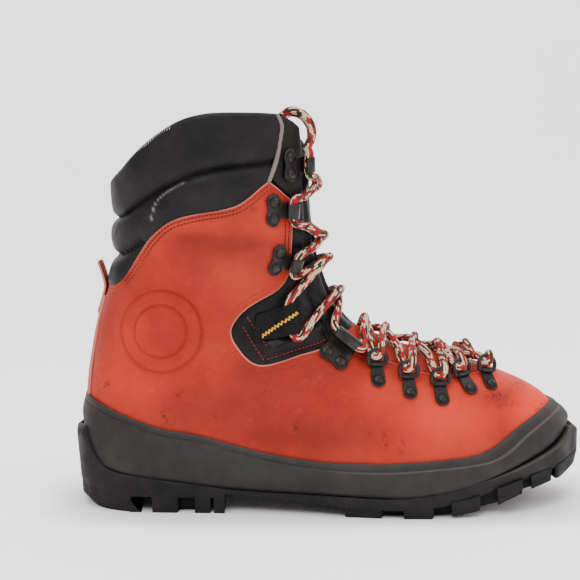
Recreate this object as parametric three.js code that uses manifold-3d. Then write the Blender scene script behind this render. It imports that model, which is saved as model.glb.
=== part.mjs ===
// Leather mountaineering boot, right foot, empty and standing on its sole. Millimetres, +Z up.
// +X points to the toe, -Y is the outer side of the foot and +Y the inner side.
// The finished group is moved so that its box stands on z = 0, centred over the origin.
import * as THREE from "three";
import { mergeVertices } from "three/addons/utils/BufferGeometryUtils.js";
import Module from "manifold-3d";

const wasm = await Module();
wasm.setup();

// ---------------------------------------------------------------- driving dimensions
const soleLength = 310;
const ballWidth = 112;
const rimHeight = 234;
const leatherWall = 3.2;
const collarPadding = 9;
const tonguePadding = 6;
const panelWall = 2;
const gap = 0.3;
const laceDiameter = 5;
const insoleThickness = 4;
const lastingMargin = 13;
const lastingHeight = 34;
const randEdge = 1.4;
const ringWidth = 13;
const ringRod = 2;
const hookPlate = 1.4;
const hookLeaf = 9.5;
const lockLeaf = 17;
const rivetDiameter = 8.4;

// The outlines below are drawn for a boot of this length, ball width and rim height.
const drawn = new THREE.Vector3(310, 112, 234);
const stretch = new THREE.Vector3(soleLength, ballWidth, rimHeight).divide(drawn);

// ---------------------------------------------------------------- solids
function merged(geometry) {
  const bare = geometry.clone();
  bare.deleteAttribute("normal");
  bare.deleteAttribute("uv");
  return mergeVertices(bare, 1e-4);
}

function toSolid(geometry) {
  const shape = merged(geometry);
  const index = Array.from(shape.index.array);
  const whole = [];
  for (let i = 0; i < index.length; i += 3) {
    const [a, b, c] = index.slice(i, i + 3);
    if (a !== b && b !== c && c !== a) whole.push(a, b, c);
  }
  const mesh = new wasm.Mesh({
    numProp: 3,
    vertProperties: new Float32Array(shape.attributes.position.array),
    triVerts: new Uint32Array(whole),
  });
  const solid = new wasm.Manifold(mesh);
  return solid.volume() > 0 ? solid : turned(mesh);
}

function turned(mesh) {
  const flipped = mesh.triVerts.slice();
  for (let i = 0; i < flipped.length; i += 3) {
    [flipped[i + 1], flipped[i + 2]] = [flipped[i + 2], flipped[i + 1]];
  }
  return new wasm.Manifold(new wasm.Mesh({
    numProp: 3, vertProperties: mesh.vertProperties, triVerts: flipped,
  }));
}

function toGeometry(solid) {
  const mesh = solid.getMesh();
  const geometry = new THREE.BufferGeometry();
  geometry.setAttribute("position", new THREE.BufferAttribute(new Float32Array(mesh.vertProperties), 3));
  geometry.setIndex(new THREE.BufferAttribute(new Uint32Array(mesh.triVerts), 1));
  return geometry;
}

function fromGrid(positions, triangles) {
  const geometry = new THREE.BufferGeometry();
  const flat = positions.flatMap((p) => p.toArray());
  geometry.setAttribute("position", new THREE.Float32BufferAttribute(flat, 3));
  geometry.setIndex(triangles.flat());
  return toSolid(geometry);
}

function joined(solids) {
  return solids.reduce((all, solid) => all.add(solid));
}

// ---------------------------------------------------------------- curves
function smooth(points, steps = 8) {
  const line = new THREE.SplineCurve(points.map(([x, y]) => new THREE.Vector2(x, y)));
  return line.getPoints((points.length - 1) * steps).map((p) => [p.x, p.y]);
}

function along(list) {
  return (x) => {
    if (x <= list[0][0]) return list[0][1];
    const next = list.findIndex((p) => p[0] >= x);
    if (next < 0) return list.at(-1)[1];
    const [[xa, ya], [xb, yb]] = [list[next - 1], list[next]];
    return ya + ((x - xa) / (xb - xa)) * (yb - ya);
  };
}

function value(points) {
  return along(smooth(points, 16));
}

// ---------------------------------------------------------------- the last
// Sections of the last stand like a fan: upright across the toe and forefoot, turning about
// the pivot through the instep and heel, and level up the shaft. A station names a section:
// millimetres forward of the pivot, or degrees behind it, or millimetres up beyond -90.
const pivot = { x: 172, z: 165 };
const toeStation = 130;

function station(x, z) {
  if (x >= pivot.x) return [x - pivot.x, pivot.z - z];
  if (z >= pivot.z) return [-90 - (z - pivot.z), pivot.x - x];
  const angle = Math.atan2(pivot.x - x, pivot.z - z);
  return [-THREE.MathUtils.radToDeg(angle), Math.hypot(pivot.x - x, pivot.z - z)];
}

function inSection(s, reach) {
  if (s >= 0) return [pivot.x + s, pivot.z - reach];
  if (s <= -90) return [pivot.x - reach, pivot.z - 90 - s];
  const angle = THREE.MathUtils.degToRad(-s);
  return [pivot.x - reach * Math.sin(angle), pivot.z - reach * Math.cos(angle)];
}

function reachOf(outline) {
  const list = smooth(outline, 24).map(([x, z]) => station(x, z));
  return along(list.sort((a, b) => a[0] - b[0]));
}

// Front of the shaft, instep and top of the toe, in side view.
const ridge = reachOf([
  [143, 250], [143, 235], [144, 205], [145, 180], [147, 162], [150, 148], [155, 133],
  [163, 118], [174, 107], [190, 99.5], [210, 92.5], [230, 87.5], [248, 83], [264, 77],
  [279, 70.5], [290, 63], [297, 53.5], [301, 43], [302, 36],
]);
// Under the foot, around the heel and up the back, in side view.
const base = reachOf([
  [302, 36], [299, 29], [288, 25], [268, 21.5], [240, 19.5], [205, 18.5], [172, 19],
  [130, 20.5], [90, 24.5], [55, 27.5], [30, 29], [17, 33], [10.8, 42], [8.3, 56], [8.8, 71],
  [11, 88], [14.5, 107], [18, 121], [21.5, 134], [24.5, 147], [25, 160], [25, 205],
  [25, 235], [25, 250],
]);
const halfWidth = value([
  [-165, 47.5], [-140, 47.5], [-115, 45.5], [-90, 42.5], [-75, 40], [-60, 38], [-45, 37.5],
  [-30, 39], [-15, 42], [0, 45], [18, 48], [35, 50.5], [52, 50.5], [72, 47.5], [92, 40.5],
  [108, 32], [118, 23.5], [125, 14.5], [129, 6.5], [130, 0],
]);
const widestShare = value([
  [-165, 0.5], [-90, 0.5], [-70, 0.56], [-50, 0.62], [-30, 0.72], [0, 0.8], [40, 0.84],
  [90, 0.82], [118, 0.75], [130, 0.6],
]);
const ridgePower = value([
  [-165, 2.5], [-90, 2.45], [-45, 2.2], [0, 2.05], [60, 2.1], [110, 2.3], [130, 2.2],
]);
const basePower = value([
  [-165, 2.4], [-90, 2.45], [-60, 2.5], [-55, 2.6], [-50, 3.6], [-45, 5.5], [-30, 6], [0, 6],
  [100, 5], [130, 2.5],
]);
const baseShift = value([
  [-165, 0], [-60, 0], [-45, -0.5], [-20, -1.5], [0, -1], [40, -1.5], [60, 0], [90, 2.5],
  [112, 5], [130, 7],
]);
const ridgeShift = value([
  [-165, 0], [-60, 0], [-30, 2], [0, 5], [30, 8], [60, 9.5], [90, 9], [115, 7.5], [130, 7],
]);
const archHollow = value([[-70, 0], [-50, 1], [-30, 5], [-10, 6], [15, 3], [35, 0], [60, 0]]);

function lastPoint(s, angle) {
  const side = Math.sign(angle) || 1;
  const turn = Math.abs(angle);
  const front = turn < Math.PI / 2;
  const power = 2 / (front ? ridgePower(s) : basePower(s));
  const widest = widestShare(s);
  const rise = Math.abs(Math.cos(turn)) ** power;
  const share = front ? widest * (1 - rise) : widest + (1 - widest) * rise;
  const hollow = side > 0 ? archHollow(s) * share : 0;
  const half = (halfWidth(s) - hollow) * Math.max(Math.sin(turn), 0) ** power;
  const lean = share * share * (3 - 2 * share);
  const middle = THREE.MathUtils.lerp(ridgeShift(s), baseShift(s), lean);
  const [x, z] = inSection(s, THREE.MathUtils.lerp(ridge(s), base(s), share));
  return new THREE.Vector3(x, middle + side * half, z).multiply(stretch);
}

function around(s, angle) {
  const wrapped = Math.abs(angle) > Math.PI ? angle - 2 * Math.PI * Math.sign(angle) : angle;
  return lastPoint(Math.min(s, toeStation), wrapped);
}

function outward(s, angle) {
  if (s >= toeStation) return new THREE.Vector3(1, 0, 0);
  const step = 0.02;
  const forward = around(s + 0.5, angle).sub(around(s - 0.5, angle));
  const across = around(s, angle + step).sub(around(s, angle - step));
  const normal = forward.cross(across).normalize();
  const [x, z] = inSection(s, (ridge(s) + base(s)) / 2);
  const heart = new THREE.Vector3(x, ridgeShift(s), z).multiply(stretch);
  const out = lastPoint(s, angle).sub(heart);
  return normal.dot(out) < 0 ? normal.negate() : normal;
}

function skin(s, angle, offset = 0) {
  return lastPoint(s, angle).addScaledVector(outward(s, angle), offset);
}

const stations = [
  ...[-175, -160, -146, -134, -122, -111, -100],
  ...[-90, -82, -74, -66, -58, -51, -45, -38, -28, -15],
  ...[0, 18, 36, 54, 70, 84, 95, 104, 112, 119, 124, 128, toeStation],
];
const turns = [0, 0.4, 0.8, 1.2, 1.6, 2, 2.4, 2.78, Math.PI];
const ringAngles = [...turns, ...turns.slice(1, -1).reverse().map((t) => -t)];

const lasts = new Map();
function last(offset) {
  if (!lasts.has(offset)) lasts.set(offset, lastSolid(offset));
  return lasts.get(offset);
}

function lastSolid(offset) {
  const count = ringAngles.length;
  const points = stations.flatMap((s) => ringAngles.map((angle) => skin(s, angle, offset)));
  const triangles = [];
  for (let i = 0; i + 1 < stations.length; i += 1) {
    for (let k = 0; k < count; k += 1) {
      const [a, b] = [i * count + k, i * count + ((k + 1) % count)];
      triangles.push([a, b, b + count], [a, b + count, a + count]);
    }
  }
  const centre = new THREE.Vector3();
  points.slice(0, count).forEach((p) => centre.addScaledVector(p, 1 / count));
  points.push(centre);
  for (let k = 0; k < count; k += 1) {
    triangles.push([points.length - 1, (k + 1) % count, k]);
  }
  return fromGrid(points, triangles);
}

// A layer of the shoe between two offsets of the last.
function layer(outer, inner) {
  return last(outer).subtract(last(inner));
}

// ---------------------------------------------------------------- cutters
const wide = 90;

function sidePrism(points, from = -wide, to = wide) {
  const shape = new THREE.Shape(points.map(([x, z]) => new THREE.Vector2(x * stretch.x, z * stretch.z)));
  const geometry = new THREE.ExtrudeGeometry(shape, { depth: to - from, bevelEnabled: false });
  geometry.rotateX(Math.PI / 2).translate(0, to, 0);
  return toSolid(geometry);
}

function planPrism(points, low, high) {
  const shape = new THREE.Shape(points.map(([x, y]) => new THREE.Vector2(x * stretch.x, y * stretch.y)));
  const geometry = new THREE.ExtrudeGeometry(shape, { depth: high - low, bevelEnabled: false });
  geometry.translate(0, 0, low);
  return toSolid(geometry);
}

// Moves an open side-view line square to itself, to the left of its direction.
function shifted(line, distance) {
  return line.map(([x, z], i) => {
    const [xa, za] = line[Math.max(i - 1, 0)];
    const [xb, zb] = line[Math.min(i + 1, line.length - 1)];
    const long = Math.hypot(xb - xa, zb - za);
    return [x - (distance * (zb - za)) / long, z + (distance * (xb - xa)) / long];
  });
}

// ---------------------------------------------------------------- edges, in side view
// Top edge of the leather, from the back to its peak at the front of the ankle.
const leatherTop = smooth([
  [-20, 133.5], [20, 133.5], [29.2, 136], [36.3, 143.5], [43.6, 154.3], [49.4, 162.5],
  [58.5, 170.8], [67.3, 174.8], [80.2, 177.8], [90.9, 179.4], [100.5, 181.8], [107.9, 186.6],
  [114.3, 192], [119.6, 196],
], 2);
// Front edge of the leather below the peak, down to the notch of the bellows.
const leatherFront = [
  [125.9, 191.2], [132.5, 185.2], [134.1, 181], [133.7, 162.8], [132.9, 143.8],
];
const notchEdge = smooth([
  [132.9, 143.8], [129.7, 136], [123.2, 129.8], [110.7, 123.1], [103, 117.2], [97.9, 109.7],
  [97.9, 103.6], [101.6, 97.3], [106.5, 91.4], [112.3, 88], [118.7, 87.9], [127.6, 90.3],
  [138.5, 93.8], [147.7, 96.1], [156.2, 99.4],
], 1);
const throatTop = [[166, 118], [166, 260]];
const rimLine = smooth([
  [-20, 196], [24, 197], [31.7, 200.5], [40, 209], [49.5, 217.7], [66.1, 228.3], [80.9, 232.9],
  [95.6, 234], [123.4, 233.7], [130.5, 232.3], [137.5, 227.6], [143.5, 219], [147.5, 208],
], 2);
const stripLine = [[119.6, 196], [120.8, 199], [124.2, 213.7], [126.5, 226.3], [124.8, 240]];

// Plan of the throat, from the instep to its round toe end. The far edge follows the near one.
const throatNear = smooth([
  [150, -29], [158, -25.5], [171, -20.5], [199.5, -20.5], [216, -21], [231, -17.5], [245, -10.5],
], 2);
const throatTip = smooth([[245, -10.5], [251.5, -3], [254, 6], [251.5, 15.5], [238, 25]], 2);
const throatFar = smooth([
  [238, 25], [224, 31.5], [209, 35.5], [192, 35.5], [171, 32], [158, 34], [150, 35],
], 2);
const throat = [...throatNear, ...throatTip.slice(1, -1), ...throatFar];

const above = [[170, 262], [-20, 262]];

// ---------------------------------------------------------------- upper
function makeUpper() {
  const opening = sidePrism([
    ...leatherTop, ...leatherFront, ...notchEdge.slice(1), ...throatTop, [-20, 262],
  ]);
  const throatHole = planPrism(throat, 60 * stretch.z, 150 * stretch.z);
  const under = planPrism(footPlan(leatherWall + lastingMargin), 0, lastingHeight * stretch.z);
  return layer(0, -leatherWall).subtract(opening).subtract(throatHole).subtract(under);
}

// ---------------------------------------------------------------- sole outlines
const outerSide = smooth([
  [0, 0], [1.2, -10], [4, -20], [12, -31], [28, -39], [50, -41.5], [75, -42.5], [105, -44],
  [138, -47.5], [170, -52.5], [200, -56], [226, -55.5], [250, -50.5], [272, -41.5], [291, -27],
  [303, -10], [309, 3], [310, 10],
], 2);
const innerSide = smooth([
  [0, 0], [1.2, 10], [4, 20], [12, 31], [28, 38.5], [50, 40.5], [75, 39.5], [105, 37.5],
  [138, 40], [170, 46.5], [200, 53], [226, 55.5], [250, 52.5], [272, 44.5], [291, 33],
  [303, 21], [309, 14], [310, 10],
], 2);
const outerHalf = along(outerSide);
const innerHalf = along(innerSide);
const solePlan = [...outerSide, ...innerSide.slice(1, -1).reverse()];
// Height of the seam between the rubber cup and the tread sole.
const seamHeight = along(smooth([
  [5.8, 49.5], [8.5, 42], [12.2, 33.5], [18.5, 26.2], [27, 23.4], [44.6, 20.7], [66.9, 18.1],
  [97.4, 14.4], [128, 12.8], [163, 12], [193, 11.5], [213, 13], [233.6, 16.9], [249.4, 21.5], [266, 27.5],
  [284.8, 34], [296, 38.5], [305.2, 44.6],
]));
// Height of the floor inside the cup's own seat in the tread sole.
const seatHeight = along(smooth([
  [0, 22.5], [30, 21.5], [60, 18], [97, 14.3], [128, 12.6], [163, 11.8], [200, 11.5], [235, 13],
  [260, 14.5], [285, 17.5], [302, 21.5],
]));
// Height of the cup's top edge on the leather.
const randHeight = along(smooth([
  [4, 68.5], [15.4, 64.2], [25.7, 60.4], [38.4, 55.6], [56.8, 49.7], [77.2, 46.2], [97.6, 41],
  [118, 36.1], [138.2, 32.9], [155.2, 31.2], [183.8, 30.8], [213.5, 33.4], [234, 35],
  [244.4, 36.8], [255.2, 41.5], [266.9, 48.9], [279.1, 55.1], [291.3, 60.2], [300, 63],
]));

// Half width of the last at a place in side view, from its middle line, or -1 outside it.
function halfAt(x, z, side, offset) {
  const [s, reach] = station(x, z);
  const at = Math.min(s, toeStation);
  const share = (reach - ridge(at) + offset) / (base(at) - ridge(at) + 2 * offset);
  if (share <= 0 || share >= 1 || s > toeStation + offset) return -1;
  const widest = widestShare(at);
  const front = share < widest;
  const power = front ? ridgePower(at) : basePower(at);
  const part = front ? 1 - share / widest : (share - widest) / (1 - widest);
  const hollow = side > 0 ? archHollow(at) * share : 0;
  return (halfWidth(at) - hollow + offset) * (1 - part ** power) ** (1 / power);
}

function middleAt(x, z) {
  const [s, reach] = station(x, z);
  const at = Math.min(s, toeStation);
  const share = THREE.MathUtils.clamp((reach - ridge(at)) / (base(at) - ridge(at)), 0, 1);
  return THREE.MathUtils.lerp(ridgeShift(at), baseShift(at), share * share * (3 - 2 * share));
}

function endOf(line, offset, inside, outside) {
  let [a, b] = [inside, outside];
  for (let i = 0; i < 30; i += 1) {
    const x = (a + b) / 2;
    if (halfAt(x, line(x), -1, offset) > 0) a = x;
    else b = x;
  }
  return a;
}

// Plan of the last near the sole, brought in by an inset.
function footPlan(inset) {
  const count = 14;
  const from = inset + 6;
  const to = 301 - inset;
  const place = (i) => from + ((to - from) * (1 - Math.cos((Math.PI * i) / count))) / 2;
  const edge = (side) => Array.from({ length: count + 1 }, (_, i) => {
    const x = place(i);
    const round = Math.sqrt(Math.max(1 - ((2 * i) / count - 1) ** 8, 0));
    const half = (halfAt(x, lastingHeight, side, 0) - inset) * round;
    return [x, middleAt(x, 22) + side * Math.max(half, 0)];
  });
  return [...edge(-1), ...edge(1).slice(1, -1).reverse()];
}

// ---------------------------------------------------------------- cup (midsole) and tread sole
// The cup is a stack of loops round the foot. The lower two follow the sole's plan, drawn in
// by an inset, and the top one follows the last. Both ends of a loop lie on the middle line.
const cupSteps = 22;
const seat = { from: 9.5, to: 302.5, inset: 3.2 };
const seam = { from: 5.8, to: 305, inset: 0.6 };
const toeMiddle = 10;
// Loops between the seam and the top: share of the height, lean towards the top, and swell.
const swells = [{ rise: 0.35, lean: 0.15, swell: 2.2 }, { rise: 0.7, lean: 0.5, swell: 1.6 }];

function cupLayers(grow) {
  const wave = (i) => (1 - Math.cos((Math.PI * i) / cupSteps)) / 2;
  const onPlan = ({ from, to, inset }, height) => (i, side) => {
    const share = wave(i);
    const plain = THREE.MathUtils.lerp(from, to, share);
    const half = side < 0 ? outerHalf : innerHalf;
    const draw = side * (grow - inset) * Math.sin(Math.PI * share) ** 0.3;
    const middle = i === 0 ? 0 : toeMiddle;
    const y = i % cupSteps ? half(share * drawn.x) + draw : middle;
    return new THREE.Vector3(plain + grow * (2 * share - 1), y, height(plain) - grow);
  };
  const back = endOf(randHeight, randEdge, 60, 0);
  const front = endOf(randHeight, randEdge, 250, 309);
  const top = (i, side) => {
    const x = back + (front - back) * wave(i);
    const z = randHeight(x);
    const half = i % cupSteps ? Math.max(halfAt(x, z, side, randEdge), 0) : 0;
    return new THREE.Vector3(x, middleAt(x, z) + side * half, z);
  };
  const floor = onPlan(seat, (x) => Math.min(seatHeight(x), seamHeight(x)));
  const bottom = onPlan(seam, (x) => seamHeight(x) + gap);
  const between = ({ rise, lean, swell }) => (i, side) => {
    const [p, q] = [bottom(i, side), top(i, side)];
    const point = p.clone().lerp(q, lean);
    point.x += swell * (2 * wave(i) - 1);
    point.y += side * swell * Math.sin(Math.PI * wave(i));
    return point.setZ(THREE.MathUtils.lerp(p.z, q.z, rise));
  };
  return [floor, bottom, ...swells.map(between), top];
}

function cupBody(grow) {
  const layers = cupLayers(grow);
  const ring = (at) => [
    ...Array.from({ length: cupSteps + 1 }, (_, i) => at(i, -1)),
    ...Array.from({ length: cupSteps - 1 }, (_, i) => at(cupSteps - 1 - i, 1)),
  ];
  const points = layers.flatMap(ring).map((p) => p.multiply(stretch));
  const count = 2 * cupSteps;
  const triangles = [];
  for (let r = 0; r + 1 < layers.length; r += 1) {
    for (let k = 0; k < count; k += 1) {
      const [a, b] = [r * count + k, r * count + ((k + 1) % count)];
      triangles.push([a, b, b + count], [a, b + count, a + count]);
    }
  }
  const roof = (layers.length - 1) * count;
  for (let i = 0; i < cupSteps; i += 1) {
    const [a, b] = [i, i + 1];
    const [c, d] = [(count - i) % count, count - i - 1];
    triangles.push([a, d, b], [a, c, d]);
    triangles.push([roof + a, roof + b, roof + d], [roof + a, roof + d, roof + c]);
  }
  return fromGrid(points, triangles);
}

function makeMidsole() {
  return cupBody(0).subtract(last(gap));
}

const treadBack = [[3, 11], [3.2, 5], [4.6, 1.6], [9.4, 0]];
const toeWrap = [
  [305.5, 45.4], [308.4, 44.4], [310, 41], [310, 30], [309.2, 26], [305.5, 21.8],
];
// The sole between its blocks, from the toe back to the heel, and the ground side of the blocks.
const rootLine = [
  [298, 24.5], [290, 22.5], [272, 19], [262, 16.5], [249, 12.3], [236, 9], [220, 6.4], [205, 5],
  [165, 5], [163, 6], [93, 12], [92, 9.5], [3, 9.5],
];
const treadLine = [
  [92, 0], [92, 11], [165, 7], [165, 0], [214, 0], [227, 1.5], [241, 3.8], [253, 6.4],
  [268, 11.8], [277, 14.4], [291, 16.8], [305.5, 21.8],
];
const blockTops = [
  [298, 26.5], [290, 24.5], [272, 21], [249, 14.3], [220, 8.4], [205, 7], [165, 8], [94, 13],
  [60, 11],
];

function soleBlock() {
  const lip = Array.from({ length: 24 }, (_, i) => seam.from + i * 13).map((x) => [x, seamHeight(x)]);
  return sidePrism([[0, 45], [4.5, 50], ...lip, ...toeWrap, ...rootLine, [2.2, 15.7], [0.3, 38]]);
}

function treadBlock() {
  return sidePrism([...treadBack, ...treadLine, ...blockTops]);
}

// Blocks of the tread round its edge: where each starts and ends along the sole, how far it
// reaches in from the edge, and how far its inner end is swept forward.
const edgeBlocks = [
  { from: 50.2, to: 65, deep: 19, sweep: 3 },
  { from: 75.5, to: 84.6, deep: 19, sweep: 0 },
  { from: 86.8, to: 93, deep: 30, sweep: 0 },
  { from: 164, to: 185, deep: 22, sweep: 5 },
  { from: 198, to: 214.5, deep: 24, sweep: 6 },
  { from: 226, to: 242, deep: 24, sweep: 6 },
  { from: 253.5, to: 268.5, deep: 23, sweep: 5 },
  { from: 275, to: 288.5, deep: 19, sweep: 2 },
];
const middleBlocks = [[62, 13], [187, 15], [214, 16], [241, 15], [266, 11]];
const heelBlock = [[-5, -60], [36.7, -60], [40, -16], [34, 0], [40, 16], [36.7, 60], [-5, 60]];
const toeBlock = [[291.5, -40], [288.5, 8], [291.5, 60], [320, 60], [320, -40]];
const blockSpan = [-1, 40];

function edgeBlock({ from, to, deep, sweep }, side) {
  const half = side < 0 ? outerHalf : innerHalf;
  const root = half((from + to) / 2) - side * deep;
  const corners = [[from, side * 70], [to, side * 70], [to + sweep, root], [from + sweep, root]];
  return planPrism(corners, ...blockSpan);
}

function middleBlock([x, radius], i) {
  const y = i === 0 ? 0 : (outerHalf(x) + innerHalf(x)) / 2;
  const corners = Array.from({ length: 6 }, (_, k) => (k * Math.PI) / 3);
  const outline = corners.map((t) => [x + radius * Math.cos(t), y + 0.55 * radius * Math.sin(t)]);
  return planPrism(outline, ...blockSpan);
}

function makeOutsole() {
  const blocks = joined([
    planPrism(heelBlock, ...blockSpan), planPrism(toeBlock, ...blockSpan),
    ...edgeBlocks.flatMap((block) => [edgeBlock(block, -1), edgeBlock(block, 1)]),
    ...middleBlocks.map(middleBlock),
  ]);
  const plan = planPrism(solePlan, -2, 60);
  const tread = treadBlock().intersect(blocks);
  return soleBlock().add(tread).intersect(plan).subtract(cupBody(gap)).subtract(last(gap));
}

// ---------------------------------------------------------------- insole
function makeInsole() {
  const rise = leatherWall + gap + insoleThickness;
  const line = [8, 30, 60, 90, 130, 172, 205, 240, 268, 290, 300].map((x) => {
    const [s] = station(x, 20);
    return [x, inSection(s, base(s))[1] + rise];
  });
  const [heelRise, toeRise] = [line[0][1] + 6, line.at(-1)[1] + 6];
  const below = sidePrism([[-10, heelRise], ...line, [312, toeRise], [312, -5], [-10, -5]]);
  const opening = footPlan(leatherWall + lastingMargin + 2 * gap);
  const plug = last(0).intersect(planPrism(opening, 0, lastingHeight * stretch.z - gap));
  return last(-leatherWall - 2 * gap).intersect(below).add(plug.intersect(below));
}

// ---------------------------------------------------------------- collar
function makeCollar(grow = 0) {
  const region = sidePrism([
    ...shifted(leatherTop, gap - grow), ...shifted(stripLine.slice(1), -grow),
    [123, 262], [-20, 262],
  ]);
  const pad = layer(1 + grow, -collarPadding - grow).intersect(region);
  return pad.subtract(sidePrism([...rimLine, ...above]));
}

// ---------------------------------------------------------------- tongue
// The flap lies under the leather on both sides of the throat, in side view and in plan, and
// the fill stands up into the throat.
const flapSide = [
  [119, 262], [118, 150], [124, 112], [140, 95], [158, 84], [262, 58], [262, 140], [176, 262],
];
const flapPlan = [
  [90, -60], [160, -60], [160, -33], [172, -29], [218, -29], [236, -24], [251, -15], [260, -4],
  [262, 6], [259, 18], [243, 33], [226, 40], [209, 44], [172, 42], [160, 60], [90, 60],
];
const fillSide = [
  [140.5, 262], [140.5, 186], [135.4, 181], [135, 148], [147, 122], [158, 104], [166, 100],
  [166, 130], [176, 262],
];
const forefoot = [[158, 50], [270, 50], [270, 150], [158, 150]];

function makeTongue() {
  const under = -leatherWall - gap;
  const inner = under - tonguePadding;
  const flapCut = sidePrism(flapSide).intersect(planPrism(flapPlan, 30 * stretch.z, 262 * stretch.z));
  const throatCut = planPrism(shifted(throat, 1.2), 60 * stretch.z, 150 * stretch.z);
  const fillCut = sidePrism(fillSide).add(throatCut.intersect(sidePrism(forefoot)));
  const flap = layer(under, inner).intersect(flapCut);
  const fill = layer(-0.5, inner + 1).intersect(fillCut);
  const overRim = sidePrism([...shifted(rimLine, -gap), ...above]);
  return flap.add(fill).subtract(makeCollar(2 * gap)).subtract(overRim);
}

// ---------------------------------------------------------------- small panels on each side
const sides = [["outer", -1], ["inner", 1]];

function halfSpace(side) {
  return side < 0 ? [-wide, -2] : [14, wide];
}

function makeFacing(side) {
  const panel = sidePrism([
    [121.4, 197], [124.7, 213.7], [127, 226.3], [126, 236], [137, 236], [139.5, 214],
    [139.3, 187], [136, 184.5], [133.6, 185], [126.6, 191.6],
  ], ...halfSpace(side));
  return layer(-0.4, -0.4 - panelWall).intersect(panel).subtract(sidePrism([...rimLine, ...above]));
}

function makeGusset(side) {
  const panel = sidePrism([
    [133.2, 143], ...shifted(notchEdge, 0.5).slice(1, -1), [156, 100.5], [146.3, 121.2],
    [134, 147],
  ], ...halfSpace(side));
  return layer(-0.8, -0.8 - panelWall).intersect(panel);
}

// Webbing folded into a loop on the bellows: a band on the panel, doubled at its front end
// round the lace.
const loopMouth = [134.5, 113.5];
const webbingWall = 1.4;

function makeLaceLoop(side) {
  const band = sidePrism([[110, 101.5], [112, 117], [133.6, 123.2], [137.6, 105]], ...halfSpace(side));
  const fold = sidePrism([[127.4, 103.5], [124.2, 121], [133.6, 123.2], [137.6, 105]], ...halfSpace(side));
  const bore = laceDiameter + 1;
  const outerSkin = bore + webbingWall;
  const hollow = sidePrism([[128.9, 95], [124.4, 130], [132.2, 130], [136.6, 95]], ...halfSpace(side));
  const eye = layer(outerSkin, 0).intersect(fold).subtract(layer(bore, webbingWall).intersect(hollow));
  return layer(webbingWall, -0.5).intersect(band).add(eye);
}

function makeBackstay() {
  const band = sidePrism([[-9, 74], [40, 74], [40, 128], [-9, 128]], -8, 8);
  const tab = sidePrism([
    [12.3, 112], [13.6, 122], [13.2, 146.6], [15.6, 147.4], [18.4, 139], [19, 129], [15.2, 112],
  ], -8, 8);
  return layer(gap + panelWall, gap).intersect(band).add(tab.subtract(last(gap)));
}

// ---------------------------------------------------------------- fittings
// A fitting stands on the leather: its own Z axis points away from the boot and its own X
// axis points to the throat or the front of the shaft.
function onLast(x, z, side) {
  const [s, reach] = station(x, z);
  const share = (reach - ridge(s)) / (base(s) - ridge(s));
  const widest = widestShare(s);
  const angle = share < widest
    ? Math.acos((1 - share / widest) ** (ridgePower(s) / 2))
    : Math.PI - Math.acos(((share - widest) / (1 - widest)) ** (basePower(s) / 2));
  return { s, angle: side * angle };
}

function seatFrame(x, z, side, towards, lift) {
  const at = onLast(x, z, side);
  const origin = skin(at.s, at.angle, lift);
  const goal = onLast(...towards, side);
  const normal = outward(at.s, at.angle);
  const front = skin(goal.s, goal.angle, lift).sub(origin);
  front.addScaledVector(normal, -front.dot(normal)).normalize();
  const up = new THREE.Vector3().crossVectors(normal, front);
  return new THREE.Matrix4().makeBasis(front, up, normal).setPosition(origin);
}

function seated(geometry, frame) {
  return toSolid(geometry.applyMatrix4(frame));
}

function plate(shape, thickness, rise = 0) {
  const settings = { depth: thickness, bevelEnabled: false, curveSegments: 3 };
  return new THREE.ExtrudeGeometry(shape, settings).translate(0, 0, rise);
}

function rivet(x, y, frame, rise) {
  const radius = rivetDiameter / 2;
  const head = new THREE.CylinderGeometry(radius - 1.2, radius - 0.5, 2, 8);
  return seated(head.rotateX(Math.PI / 2).translate(x, y, rise + 0.4), frame);
}

// Rings: rivet and ring bar of each, in side view, from the instep to the toe.
const ringSeats = [
  [[184, 77.4], [182.7, 88.6]], [[202.8, 70.6], [201.3, 82.6]], [[221.8, 66.4], [220.3, 75.7]],
  [[239.6, 71.4], [235.3, 77.5]], [[252.6, 72.6], [249.5, 79.6]],
];
// The inner row sits a little further back than the outer row.
const innerRow = [-3, -4, -5, -7, -8];

function ringFrame(i, side) {
  const [[x, z], [ux, uz]] = ringSeats[i];
  const back = side > 0 ? innerRow[i] : 0;
  return seatFrame(x + back, z, side, [ux + back, uz], fittingLift);
}

function makeRing(i, side) {
  const frame = ringFrame(i, side);
  const tail = new THREE.Shape();
  tail.moveTo(10, -4);
  tail.lineTo(10, 4);
  tail.lineTo(0, 4.2);
  tail.absarc(0, 0, 4.4, Math.PI / 2, (3 * Math.PI) / 2);
  const strap = seated(plate(tail, 1), frame);
  const knuckle = seated(new THREE.BoxGeometry(3.6, 7, 3.6).translate(10, 0, 1.9), frame);
  return joined([strap, rivet(0, 0, frame, 1), knuckle, ringLoop(frame)]);
}

function ringLoop(frame) {
  const half = ringWidth / 2;
  const lean = THREE.MathUtils.degToRad(38);
  const arc = Array.from({ length: 7 }, (_, k) => (-Math.PI / 2) + (Math.PI * k) / 6);
  const bow = arc.map((t) => [2.5 + 6.5 * Math.cos(t), half * Math.sin(t)]);
  const outline = [[0, -1], [0, -half], ...bow, [0, half], [0, 1]];
  const path = new THREE.CatmullRomCurve3(
    outline.map(([a, b]) => new THREE.Vector3(10 + a * Math.cos(lean), b, 1.9 + a * Math.sin(lean))),
  );
  return seated(tube(path, ringRod, 8, 6), frame);
}

function tube(path, diameter, steps, sides = 8) {
  const corners = Array.from({ length: sides }, (_, k) => (2 * Math.PI * (k + 0.5)) / sides);
  const radius = diameter / 2;
  const section = new THREE.Shape(corners.map((t) => (
    new THREE.Vector2(radius * Math.cos(t), radius * Math.sin(t))
  )));
  return new THREE.ExtrudeGeometry(section, { steps, bevelEnabled: false, extrudePath: path });
}

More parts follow.
